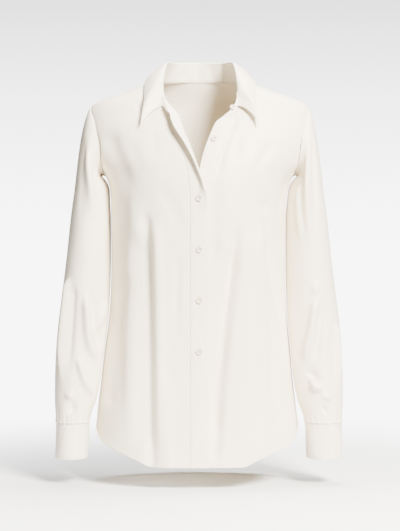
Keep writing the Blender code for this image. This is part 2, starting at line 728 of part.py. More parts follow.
def add_object(name, mesh_data, material):
    """Puts a finished mesh into the scene as a named, smoothly shaded object."""
    mesh = bpy.data.meshes.new(name)
    if mesh_data.calc_volume(signed=True) < 0:
        bmesh.ops.reverse_faces(mesh_data, faces=mesh_data.faces)
    mesh_data.to_mesh(mesh)
    mesh_data.free()
    mesh.materials.append(material)
    mesh.shade_smooth()
    mesh.set_sharp_from_angle(angle=math.radians(40))
    piece = bpy.data.objects.new(name, mesh)
    bpy.context.scene.collection.objects.link(piece)
    return piece


def finish(name, colour, roughness, sheen):
    """A plain material for one piece."""
    material = bpy.data.materials.new(name)
    material.use_nodes = True
    shader = material.node_tree.nodes["Principled BSDF"]
    shader.inputs["Base Color"].default_value = (*colour, 1.0)
    shader.inputs["Roughness"].default_value = roughness
    shader.inputs["Metallic"].default_value = 0.0
    shader.inputs["Sheen Weight"].default_value = sheen
    return material


CLOTH_COLOUR = (0.86, 0.82, 0.75)
BUTTON_COLOUR = (0.84, 0.80, 0.72)


def cloth(name):
    """The shirt's satin crepe."""
    return finish(name, CLOTH_COLOUR, 0.55, 0.25)


def surface_grid(surface, places):
    """Points and normals of a surface over a grid of angles and heights."""
    points = [[surface(a, z) for a, z in line] for line in places]
    normals = [[normal_of(surface, a, z, ANGLE_STEP, HEIGHT_STEP) for a, z in line]
               for line in places]
    return points, normals


def make_front(side, name, placket_name):
    """A front and the band of double cloth that lies along its edge."""
    surface = left_front_point if side > 0 else right_front_point
    points, normals = surface_grid(surface, front_places(side))
    points = trim_edges(points, GAP / 2)
    wall(name, points, [[n * -WALL for n in line] for line in normals], cloth(name))
    last = PLACKET_COLUMNS + 1
    band = [[points[r][c] + normals[r][c] * GAP for c in range(last)]
            for r in range(len(points))]
    offsets = [[normals[r][c] * BAND_WALL for c in range(last)] for r in range(len(points))]
    wall(placket_name, band, offsets, cloth(placket_name))


def make_back():
    """The back, one piece from side seam to side seam."""
    points, normals = surface_grid(body_point, back_places())
    points = trim_edges(points, GAP / 2)
    wall("back", points, [[n * -WALL for n in line] for line in normals], cloth("back"))


def make_sleeve(side, name):
    """A sleeve from the armhole to the cuff."""
    turns = sleeve_turns()
    points = [[sleeve_point(side, turn, row) for turn in turns] for row in SLEEVE_ROWS]
    offsets = []
    for row in SLEEVE_ROWS:
        line = []
        for turn in turns:
            if row == 0:
                angle, z = armhole(turn)
                normal = normal_of(body_point, side * angle, z, ANGLE_STEP, HEIGHT_STEP)
            else:
                normal = sleeve_normal(sleeve_point, side, turn, row)
            line.append(normal * -WALL)
        offsets.append(line)
    wall(name, trim_edges(points, GAP, closed=True), offsets, cloth(name), closed=True)


CUFF_COLUMNS = 30
CUFF_ROWS = 3
CUFF_RING = len(SLEEVE_RINGS) - 1


def cuff_place(side, turn, share, lift):
    """A place on a cuff, from its top (0) to its edge (1), lifted off its plain ring."""
    place = sleeve_ring(side, turn, CUFF_RING, 0.0006 + lift)
    place.z = CUFF_TOP_Z + (CUFF_BOTTOM_Z - CUFF_TOP_Z) * share
    place.x += side * 0.0020 * share
    return place


def cuff_turns():
    """Turns from the hidden end of a cuff round to the end that laps over it."""
    start = math.radians(CUFF_OPENING - 360 - CUFF_OVERLAP / 2)
    length = 2 * math.pi + math.radians(CUFF_OVERLAP)
    return [start + length * column / CUFF_COLUMNS for column in range(CUFF_COLUMNS + 1)]


def make_cuff(side, name):
    """A cuff, a straight band whose ends lap."""
    turns = cuff_turns()
    lap = COLLAR_WALL + GAP
    points, offsets = [], []
    for row in range(CUFF_ROWS + 1):
        line, ways = [], []
        for turn in turns:
            past = turn - (turns[-1] - math.radians(CUFF_OVERLAP + 24))
            lift = lap * blend(0.0, math.radians(22), past)
            place = cuff_place(side, turn, row / CUFF_ROWS, lift)
            outside = cuff_place(side, turn, row / CUFF_ROWS, lift + 0.001)
            line.append(place)
            ways.append((outside - place).normalized() * -COLLAR_WALL)
        points.append(line)
        offsets.append(ways)
    wall(name, points, offsets, cloth(name))


SLIT_FIRST_ROW = 13.5    # the strip starts at this ring and ends above the cuff
SLIT_COLUMN = 12         # of the sleeve's columns, the one where the strip starts


def make_sleeve_placket(side, name):
    """The strip that binds the slit above a cuff, laid on the sleeve's own points."""
    turns = sleeve_turns()[SLIT_COLUMN:SLIT_COLUMN + 2]
    rows = [row for row in SLEEVE_ROWS if SLIT_FIRST_ROW <= row < CUFF_RING]
    points, offsets = [], []
    for row in rows:
        normals = [sleeve_normal(sleeve_point, side, turn, row) for turn in turns]
        points.append([sleeve_point(side, turn, row) + normal * 2 * GAP
                       for turn, normal in zip(turns, normals)])
        offsets.append([normal * BAND_WALL for normal in normals])
    wall(name, points, offsets, cloth(name))


def make_collar():
    """The stand and the leaf that turns down over it."""
    points, offsets = stand_grid()
    wall("collar_stand", points, offsets, cloth("collar_stand"))
    points, offsets = leaf_grid()
    wall("collar_leaf", points, offsets, cloth("collar_leaf"))


# ---- buttons ----------------------------------------------------------------------------
BUTTON_RADIUS = 0.00575
SMALL_BUTTON_RADIUS = 0.0045
BUTTON_SIDES = 16
BUTTON_SEAT = 0.0005      # the cloth bulges a little under a button
# Radius as a share of the button's, height in metres, from the under side over the rim.
BUTTON_PROFILE = (
    (0.0, 0.0), (0.86, 0.0), (1.0, 0.0008), (1.0, 0.0016), (0.88, 0.0021),
    (0.72, 0.0016), (0.0, 0.0014),
)
FRONT_BUTTON_X = -0.0013
TOP_BUTTON_Z = -0.2110
BUTTON_PITCH = 0.0879
FRONT_BUTTONS = 4
BAND_BUTTON = (0.0240, -0.1080)
STAND_BUTTON_SHARE = 0.6  # of the way up the stand, at its left end


def make_button(name, place, normal, radius):
    """A round button with a raised rim, lying on the cloth at a place."""
    mesh_data = bmesh.new()
    rings = []
    for share, height in BUTTON_PROFILE:
        if share == 0:
            rings.append([mesh_data.verts.new((0, 0, height))])
            continue
        turns = [2 * math.pi * i / BUTTON_SIDES for i in range(BUTTON_SIDES)]
        reach = share * radius
        rings.append([mesh_data.verts.new((reach * math.cos(turn), reach * math.sin(turn), height))
                      for turn in turns])
    for lower, upper in zip(rings, rings[1:]):
        for i in range(BUTTON_SIDES):
            j = (i + 1) % BUTTON_SIDES
            corners = [lower[i % len(lower)], lower[j % len(lower)],
                       upper[j % len(upper)], upper[i % len(upper)]]
            mesh_data.faces.new(list(dict.fromkeys(corners)))
    turn = Vector((0, 0, 1)).rotation_difference(normal).to_matrix().to_4x4()
    turn.translation = place
    bmesh.ops.transform(mesh_data, matrix=turn, verts=mesh_data.verts)
    bmesh.ops.recalc_face_normals(mesh_data, faces=mesh_data.faces)
    add_object(name, mesh_data, finish(name, BUTTON_COLOUR, 0.25, 0.0))


def button_on(name, surface, x, z, clear, radius=BUTTON_RADIUS):
    """A button on the body at a place across and up, clear of what it is sewn on."""
    angle = form_angle(x, z)
    normal = normal_of(surface, angle, z, ANGLE_STEP, HEIGHT_STEP)
    make_button(name, surface(angle, z) + normal * clear, normal, radius)


def make_buttons():
    """Every button of the shirt."""
    clear = GAP + BAND_WALL + BUTTON_SEAT
    for index in range(FRONT_BUTTONS):
        button_on(f"button_front_{index + 1}", right_front_point, FRONT_BUTTON_X,
                  TOP_BUTTON_Z - BUTTON_PITCH * index, clear)
    button_on("button_band", left_front_point, *BAND_BUTTON, clear)
    points, offsets = stand_grid()
    low = (points[0][-2] + points[0][-1]) / 2
    high = (points[-1][-2] + points[-1][-1]) / 2
    normal = offsets[1][-2].normalized()
    place = low.lerp(high, STAND_BUTTON_SHARE) + normal * (COLLAR_WALL + 2 * BUTTON_SEAT)
    make_button("button_stand", place, normal, SMALL_BUTTON_RADIUS)
    for side, name in ((-1, "button_cuff_right"), (1, "button_cuff_left")):
        turn = math.radians(CUFF_OPENING)
        base = cuff_place(side, turn, 0.5, COLLAR_WALL + GAP)
        normal = (cuff_place(side, turn, 0.5, 0.004) - base).normalized()
        make_button(name, base + normal * GAP, normal, BUTTON_RADIUS)


def main():
    """Clears the scene and builds the shirt."""
    for item in list(bpy.data.objects):
        bpy.data.objects.remove(item, do_unlink=True)
    make_front(-1, "front_right", "placket_right")
    make_front(1, "front_left", "placket_left")
    make_back()
    for side, word in ((-1, "right"), (1, "left")):
        make_sleeve(side, f"sleeve_{word}")
        make_cuff(side, f"cuff_{word}")
        make_sleeve_placket(side, f"sleeve_placket_{word}")
    make_collar()
    make_buttons()


main()
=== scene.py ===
"""The looks of a long-sleeved satin crepe shirt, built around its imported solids.

Metres, +Z up, the front faces -Y and the wearer's right side is at -X. Every piece of
cloth is a thin shell on the form of the solid that it stands for, with its creases,
turned hems, seams and rows of stitches.
"""
from __future__ import annotations

import logging
from dataclasses import dataclass
from enum import Enum
from math import pi, radians
from typing import Callable, Sequence

import bmesh
import bpy
import numpy as np
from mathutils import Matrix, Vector, geometry

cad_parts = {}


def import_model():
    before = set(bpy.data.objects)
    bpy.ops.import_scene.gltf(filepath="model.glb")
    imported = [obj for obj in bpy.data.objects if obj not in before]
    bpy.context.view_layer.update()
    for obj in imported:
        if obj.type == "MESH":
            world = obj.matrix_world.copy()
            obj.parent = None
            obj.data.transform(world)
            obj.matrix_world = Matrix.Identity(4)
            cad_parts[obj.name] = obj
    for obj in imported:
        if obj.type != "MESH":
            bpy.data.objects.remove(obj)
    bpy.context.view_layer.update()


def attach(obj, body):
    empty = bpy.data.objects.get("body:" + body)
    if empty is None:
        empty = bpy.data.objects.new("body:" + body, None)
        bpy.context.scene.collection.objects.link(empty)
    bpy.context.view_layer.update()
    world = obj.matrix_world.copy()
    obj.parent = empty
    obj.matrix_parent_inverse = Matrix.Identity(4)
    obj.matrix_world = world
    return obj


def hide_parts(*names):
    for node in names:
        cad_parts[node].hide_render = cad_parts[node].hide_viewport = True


LOG = logging.getLogger("shirt")
Array = np.ndarray
Pair = tuple[Array, Array]
Edge = Callable[[Array], Pair]
Surface = Callable[[Array, Array], Array]
Material = bpy.types.Material
Object = bpy.types.Object
Socket = bpy.types.NodeSocket
NodeTree = bpy.types.NodeTree
ROOT = "root"
MM = 0.001

# ---- cloth, as the solids have it ----
WALL = 0.0012
BAND_WALL = 0.0010
COLLAR_WALL = 0.0016
GAP = 0.0003
LAP_STEP = BAND_WALL + WALL + 2 * GAP
SHELL = 0.0006           # thickness of the one layer of cloth that shows
SEAM_DITCH = 0.0011      # how far cloth sinks into a seam
SEAM_WIDTH = 0.0022
ROUNDING = 0.45          # how far a folded edge stands out, as a share of its thickness
HEM_DEPTH = 0.0055       # height of the turned hem
HEM_STEP = 0.0006        # how far the doubled hem stands out


class Side(Enum):
    """A side of the shirt, as the sign of its x."""

    RIGHT = -1
    LEFT = 1

    @property
    def word(self) -> str:
        """The name of the side in the names of pieces."""
        return self.name.lower()


class Face(Enum):
    """The half of the body that a fold lies on."""

    FRONT = 1
    BACK = -1


class SmoothTable:
    """A short table that is read anywhere between its rows as a smooth curve."""

    def __init__(self, rows: Sequence[Sequence[float]], key_unit: float = 1.0,
                 unit: float = MM) -> None:
        """Keeps the rows in rising order of their first column.

        Args:
            rows: the place of each row and then its values.
            key_unit: the unit of the places.
            unit: the unit of the values.
        """
        data = np.array(rows, float) * unit
        data[:, 0] *= key_unit / unit
        data = data[::-1] if data[0, 0] > data[-1, 0] else data
        self.keys = data[:, 0]
        self.values = data[:, 1:]
        rises = np.diff(self.values, axis=0) / np.diff(self.keys)[:, None]
        before, after = rises[:-1], rises[1:]
        same = before * after > 0
        total = np.where(same, before + after, 1.0)
        inner = np.where(same, 2 * before * after / total, 0.0)
        self.slopes = np.concatenate([rises[:1], inner, rises[-1:]])

    def read(self, at: Array | float, column: int) -> Array:
        """Values of one column.

        Args:
            at: places in the first column.
            column: 1 for the first column after the places, and so on.

        Returns:
            The values at those places.
        """
        at = np.clip(np.asarray(at, float), self.keys[0], self.keys[-1])
        low = np.clip(np.searchsorted(self.keys, at, side="right") - 1, 0, len(self.keys) - 2)
        step = self.keys[low + 1] - self.keys[low]
        u = (at - self.keys[low]) / step
        values, slopes = self.values[:, column - 1], self.slopes[:, column - 1]
        return ((2 * u**3 - 3 * u**2 + 1) * values[low]
                + (u**3 - 2 * u**2 + u) * step * slopes[low]
                + (3 * u**2 - 2 * u**3) * values[low + 1]
                + (u**3 - u**2) * step * slopes[low + 1])


def blend(start: float, end: float, at: Array | float) -> Array:
    """Smooth step from 0 to 1 between two places."""
    u = np.clip((np.asarray(at, float) - start) / (end - start), 0.0, 1.0)
    return u * u * (3 - 2 * u)


def bell(off: Array, width: float | Array) -> Array:
    """1 in the middle of a mark on the cloth, falling softly to 0 beside it."""
    return np.exp(-(off / width) ** 2)


def power(value: Array, exponent: float) -> Array:
    """A power that keeps the sign."""
    return np.sign(value) * np.abs(value) ** exponent


def unit(ways: Array) -> Array:
    """Directions as unit vectors."""
    return ways / np.maximum(np.linalg.norm(ways, axis=-1, keepdims=True), 1e-9)


def square_to(way: Array, tangent: Array) -> Array:
    """The part of directions that is square to an edge, as unit vectors."""
    tangent = unit(tangent)
    return unit(way - tangent * np.sum(way * tangent, axis=-1, keepdims=True))


def stack(*parts: Array) -> Array:
    """Arrays of x, y and z as one array of places."""
    return np.stack(np.broadcast_arrays(*parts), axis=-1)


def grid_normals(grid: Array) -> Array:
    """Unit normals of a grid of places: along the columns crossed with up the rows."""
    return unit(np.cross(np.gradient(grid, axis=1), np.gradient(grid, axis=0)))


# ---- the form of the body ----
# One row a section: height, half width, depth in front, depth behind, centre in x.
SECTIONS = SmoothTable((
    (35, 40, 35, 56, 0), (11, 56, 50, 64, 0), (6.6, 68, 54, 66, 0), (-3.6, 99, 61, 71, 0),
    (-10.8, 122.4, 66, 75, 0), (-18, 140.4, 70, 79, 0), (-25.2, 162, 73.5, 82.5, 0),
    (-32.4, 180, 76.5, 85.5, 0), (-41, 194.5, 80, 88.5, 0), (-60, 203.5, 88, 94, 0),
    (-83, 205, 98.5, 99.5, 0), (-110, 199, 109.5, 104, 0), (-146, 184, 121.5, 108, -0.5),
    (-166, 169, 126, 108.5, -1), (-191, 159.5, 129, 107.5, -1.7), (-227, 156.5, 129.5, 104, -3),
    (-317, 156, 125, 98, -3), (-371, 156.5, 123.5, 98.5, -3.5), (-425, 160.2, 123.5, 102, -3.6),
    (-479, 166.5, 124, 107, -4.5), (-533, 172, 124.5, 111, -5.5), (-587, 178.5, 125, 114, -5.5),
    (-617, 181, 125, 115.5, -5), (-700, 185, 125, 118, -5),
), MM)
HALF, FRONT_DEPTH, BACK_DEPTH, CENTRE = 1, 2, 3, 4
SQUARENESS = 2.3
# Hem: angle from the centre front in degrees, height.
HEM = SmoothTable((
    (0, -674.5), (22, -674.5), (31, -664), (45, -651), (60, -641), (72, -629), (82, -617),
    (90, -612), (99, -618), (115, -640), (135, -664), (155, -679), (180, -684),
))
SHOULDER_TIP_Z = -0.0410
ARMPIT_Z = -0.1660
ARMHOLE_FORWARD = 0.0560
ARMHOLE_BACKWARD = 0.0600
ANGLE_STEP = 0.01
HEIGHT_STEP = 0.0008


@dataclass(frozen=True)
class Fold:
    """A soft ridge or trough along a bent line.

    depth is how far the cloth stands out, below 0 for a trough; width is half the width of
    the fold; path holds places along it; fade is the length over which it starts, and tail
    the share of it over which it ends.
    """

    name: str
    depth: float
    width: float
    path: tuple[tuple[float, float], ...]
    fade: float
    tail: float
    steps: int

    def line(self) -> Array:
        """The places along the fold, rounded where steps asks for more of them."""
        points = np.array(self.path, float)
        if self.steps == 1:
            return points
        keys = np.arange(len(points))
        table = SmoothTable(np.column_stack([keys, points]), unit=1.0)
        at = np.linspace(0, len(points) - 1, (len(points) - 1) * self.steps + 1)
        return np.column_stack([table.read(at, 1), table.read(at, 2)])

    def relief(self, across: Array, up: Array) -> Array:
        """How far the cloth stands out at places near the fold.

        Args:
            across: places across, in the units of the path.
            up: heights.

        Returns:
            The relief in metres.
        """
        points = self.line()
        low, high = points.min(axis=0) - 3 * self.width, points.max(axis=0) + 3 * self.width
        across, up = np.broadcast_arrays(across, up)
        near = (across > low[0]) & (across < high[0]) & (up > low[1]) & (up < high[1])
        result = np.zeros(across.shape)
        across, up = across[near], up[near]
        best = np.full(across.shape, 1e9)
        along = np.zeros(across.shape)
        pieces = len(points) - 1
        for index in range(pieces):
            start, way = points[index], points[index + 1] - points[index]
            u = ((across - start[0]) * way[0] + (up - start[1]) * way[1]) / way.dot(way)
            u = np.clip(u, 0.0, 1.0)
            off = np.hypot(across - start[0] - u * way[0], up - start[1] - u * way[1])
            nearer = off < best
            best = np.where(nearer, off, best)
            along = np.where(nearer, (index + u) / pieces, along)
        length = float(np.sum(np.linalg.norm(np.diff(points, axis=0), axis=1)))
        shape = blend(0.0, self.fade, length * along)
        if self.tail:
            shape = shape * (1 - blend(1 - self.tail, 1.0, along))
        result[near] = self.depth * shape * bell(best, self.width)
        return result


def folds(*rows: tuple) -> tuple[Fold, ...]:
    """Folds from rows in millimetres: name, depth, half width, fade, tail, steps, path."""
    return tuple(Fold(name, depth * MM, width * MM, tuple((x * MM, z * MM) for x, z in path),
                      fade * MM, tail, steps)
                 for name, depth, width, fade, tail, steps, *path in rows)


BODY_FOLDS = {
    Face.FRONT: folds(
        ("right long trough", -7.5, 8.5, 45, 0, 1, (-94, -226), (-88, -400), (-84, -690)),
        ("right bust drape", -6, 11, 45, 0, 1, (-132, -190), (-148, -420), (-160, -560)),
        ("right bust fullness", 5, 20, 45, 0, 1, (-112, -205), (-112, -400), (-110, -600)),
        ("left long trough", -6, 8, 45, 0, 1, (66, -250), (48, -420), (26, -650)),
        ("left bust drape", -5, 9, 45, 0, 1, (112, -235), (122, -370), (140, -600)),
        ("left fullness", 4.5, 18, 45, 0, 1, (94, -260), (88, -450), (84, -650)),
    ),
    Face.BACK: folds(
        ("right trough", -6.5, 11, 45, 0, 1, (-70, -180), (-80, -400), (-92, -670)),
        ("left trough", -6.5, 11, 45, 0, 1, (66, -200), (78, -400), (84, -670)),
        ("middle fullness", 5, 25, 45, 0, 1, (5, -220), (0, -400), (-4, -670)),
    ),
}
# Smaller creases that only the cloth itself shows, in front and behind.
CREASES = {
    Face.FRONT: folds(
        ("right bust shade", -6.2, 17, 30, 0.3, 4, (-165, -85), (-146, -140), (-118, -205)),
        ("right yoke trough", -1.4, 10, 20, 0.4, 4, (-126, -105), (-112, -140), (-98, -180)),
        ("right neck trough", -1.2, 9, 15, 0.4, 4, (-84, -90), (-80, -115), (-77, -150)),
        ("right collar fold", -2.2, 4.5, 8, 0.5, 4, (-112, -38), (-107, -50), (-102, -66)),
        ("right closure pull", -2.2, 12, 25, 0.4, 4, (-70, -190), (-50, -222), (-22, -286)),
        ("right trough side", -10.4, 17, 70, 0.1, 4, (-106, -260), (-102, -400), (-100, -655)),
        ("right inner lip", 5.2, 12.5, 60, 0.1, 4, (-76, -240), (-72, -400), (-69, -655)),
        ("right side fold", -5.4, 9, 60, 0.3, 4, (-128, -330), (-140, -430), (-142, -600)),
        ("right hem flare", 3.8, 12, 90, 0, 4, (-52, -500), (-54, -580), (-56, -670)),
        ("right band drag", -2.2, 6, 40, 0.5, 4, (-36, -300), (-40, -390), (-39, -470)),
        ("left bust dimple", -3.6, 10, 10, 0.5, 4, (113, -212), (113, -226), (109, -246)),
        ("left drape crest", 6.8, 7, 40, 0.3, 5, (106, -240), (111, -318), (125, -386),
         (146, -468)),
        ("left band trough", -3.2, 6.5, 20, 0.3, 4, (64, -62), (41, -128), (29, -178)),
        ("left trough side", -9.1, 15, 60, 0.12, 4, (58, -290), (36, -433), (20, -640)),
        ("left drape shade", -6.3, 11, 40, 0.3, 4, (120, -270), (136, -400), (158, -520)),
        ("left hip trough", -5.2, 8, 40, 0.35, 4, (123, -470), (128, -520), (134, -590)),
        ("left long trough deep", -4.8, 8.5, 50, 0.15, 5, (65, -257), (57, -343), (46, -416),
         (38, -493), (26, -545), (24, -640)),
        ("left band dent", -2.9, 5, 12, 0.45, 4, (30, -283), (26, -302), (20, -325)),
        ("left yoke trough", -2.6, 8, 20, 0.45, 4, (71, -92), (66, -120), (60, -156)),
        ("left shoulder trough", -3.2, 9, 25, 0.4, 4, (128, -108), (112, -135), (94, -174)),
        ("left armhole pull", -3.5, 7, 20, 0.45, 4, (158, -165), (146, -205), (134, -250)),
        ("left hem flare", 4.2, 11, 80, 0, 4, (100, -520), (104, -580), (106, -650)),
    ),
    Face.BACK: folds(
        ("right yoke fold", -3.2, 12, 30, 0.4, 4, (-120, -90), (-100, -140), (-80, -190)),
        ("left yoke fold", -3.5, 11, 30, 0.4, 4, (132, -85), (108, -130), (74, -205)),
        ("middle trough", -3.8, 9, 70, 0.1, 4, (20, -260), (16, -420), (24, -650)),
        ("right lip", 4.5, 9, 70, 0, 4, (-56, -250), (-62, -420), (-70, -665)),
        ("left lip", 4.2, 9, 80, 0, 4, (94, -250), (102, -400), (112, -650)),
        ("right side fold", -4.5, 8, 70, 0.15, 4, (-120, -300), (-130, -420), (-136, -640)),
        ("left side fold", -4.2, 9, 60, 0.2, 4, (126, -340), (134, -460), (140, -640)),
        ("hem flare", 4.5, 13, 80, 0, 4, (-30, -540), (-34, -600), (-36, -690)),
        ("waist dent", -2.9, 8, 30, 0.4, 4, (-30, -300), (-18, -350), (-22, -410)),
    ),
}


class ShirtForm:
    """The plain form of the body, its folds, and the edges of the panels that lie on it."""

    def form_point(self, angle: Array, z: Array) -> Array:
        """Places on the plain form; the angle runs from the front towards +X."""
        angle, z = np.asarray(angle, float), np.asarray(z, float)
        depth = np.where(np.cos(angle) >= 0, SECTIONS.read(z, FRONT_DEPTH),
                         SECTIONS.read(z, BACK_DEPTH))
        exponent = 2 / SQUARENESS
        across = SECTIONS.read(z, HALF) * power(np.sin(angle), exponent)
        return stack(SECTIONS.read(z, CENTRE) + across,
                     -depth * power(np.cos(angle), exponent), z)

    def form_angle(self, x: Array, z: Array) -> Array:
        """The angles on the front of the form that lie at places across."""
        share = (np.asarray(x) - SECTIONS.read(z, CENTRE)) / SECTIONS.read(z, HALF)
        return np.arcsin(power(np.clip(share, -1.0, 1.0), SQUARENESS / 2))

    def normal(self, surface: Surface, angle: Array, z: Array) -> Array:
        """Outward normals of a surface, from places beside the ones asked for."""
        across = surface(angle + ANGLE_STEP, z) - surface(angle - ANGLE_STEP, z)
        up = surface(angle, z + HEIGHT_STEP) - surface(angle, z - HEIGHT_STEP)
        return unit(np.cross(across, up))

    def relief(self, x: Array, z: Array, angle: Array) -> Array:
        """How far the cloth stands out of the plain form."""
        front = np.cos(angle) >= 0
        total = np.zeros(np.shape(x))
        for face, where in ((Face.FRONT, front), (Face.BACK, ~front)):
            if not np.any(where):
                continue
            depth = sum(fold.relief(x, z) for fold in BODY_FOLDS[face] + CREASES[face])
            total = np.where(where, depth, total)
        return total * blend(0.0, 0.35, np.abs(np.cos(angle)))

    def body_point(self, angle: Array, z: Array) -> Array:
        """Places on the cloth of the body: the form with its folds."""
        place = self.form_point(angle, z)
        depth = self.relief(place[..., 0], z, np.asarray(angle))
        return place + self.normal(self.form_point, angle, z) * depth[..., None]

    def hem_height(self, angle: Array) -> Array:
        """Heights of the hem at angles round the body."""
        return HEM.read(np.degrees(np.arccos(np.cos(angle))), 1)

    def hem_line(self, first: float, last: float) -> Edge:
        """The hem between two angles."""
        def line(v: Array) -> Pair:
            angle = first + (last - first) * v
            return angle, self.hem_height(angle)

        return line

    def armhole(self, turn: Array) -> Pair:
        """Angles and heights of the armhole.

        Args:
            turn: 0 at the shoulder tip, a quarter turn in front, a half at the armpit.

        Returns:
            The angles, for the wearer's left, and the heights.
        """
        turn = np.asarray(turn, float)
        middle = (SHOULDER_TIP_Z + ARMPIT_Z) / 2
        z = middle + (SHOULDER_TIP_Z - ARMPIT_Z) / 2 * np.cos(turn)
        front = np.sin(turn) >= 0
        reach = np.where(front, ARMHOLE_FORWARD, ARMHOLE_BACKWARD)
        y = reach * np.abs(np.sin(turn)) * (1 - 0.18 * np.cos(turn))
        depth = np.where(front, SECTIONS.read(z, FRONT_DEPTH), SECTIONS.read(z, BACK_DEPTH))
        angle = np.arccos(np.minimum(1.0, y / depth) ** (SQUARENESS / 2))
        return np.where(front, angle, pi - angle), z


PLACKET_WIDTH = 0.0290
# Free edge of the left front: height, place across.
LEFT_EDGE = SmoothTable((
    (-720, -13), (-210, -12.5), (-164.5, -1.5), (-137, 5), (-101.5, 17.2), (-78, 28), (-70, 37),
), MM)
# The turned-out edge of the right front: height, where the turn starts across, its radius,
# cloth past the start; and the turn in degrees.
LAPEL = SmoothTable((
    (-230, -7, 9, 20), (-205, -5, 9, 18), (-189, -3.5, 8, 14.5), (-164.5, -8.7, 7, 17),
    (-120, -23.5, 6, 23), (-90, -35, 5.5, 29), (-66, -43, 5.5, 30),
), MM)
LAPEL_START, LAPEL_RADIUS, LAPEL_CLOTH = 1, 2, 3
LAPEL_TURN = SmoothTable((
    (-230, 0), (-205, 22), (-189, 70), (-164.5, 120), (-120, 150), (-90, 158), (-66, 160),
), MM, 1.0)
LAPEL_BOTTOM = -0.2300
LAP_ACROSS = (0.046, 0.021)      # where the left front starts to sink under the right one,
LAP_UP = (-0.120, -0.165)        # and where it has sunk all the way
# Front neck edges: share of the way from the front to the shoulder, across, up.
NECK_EDGES = {
    Side.LEFT: SmoothTable((
        (0, 37, -70), (0.25, 59, -64), (0.5, 70, -45), (0.75, 74.5, -18), (1, 80, 3))),
    Side.RIGHT: SmoothTable((
        (0, -13, -69), (0.25, -42, -68), (0.5, -67, -48), (0.75, -74.5, -18), (1, -80, 3))),
}
NECK_CORNER_Z = 0.0030
NECK_BACK_Z = 0.0110
PLACKET_SHARE = 0.25     # share of the neck edge above the placket
NECK_SHARE = 5 / 12      # share of a front's top that ends at the neck
ARMHOLE_SHARE = 8 / 26   # share of its height that ends at the armhole
BACK_SHOULDER_SHARE = 0.25
NECK_ROOM = 0.0900
NECK_SWING = 0.75
TOP_CROWDING = 1.6


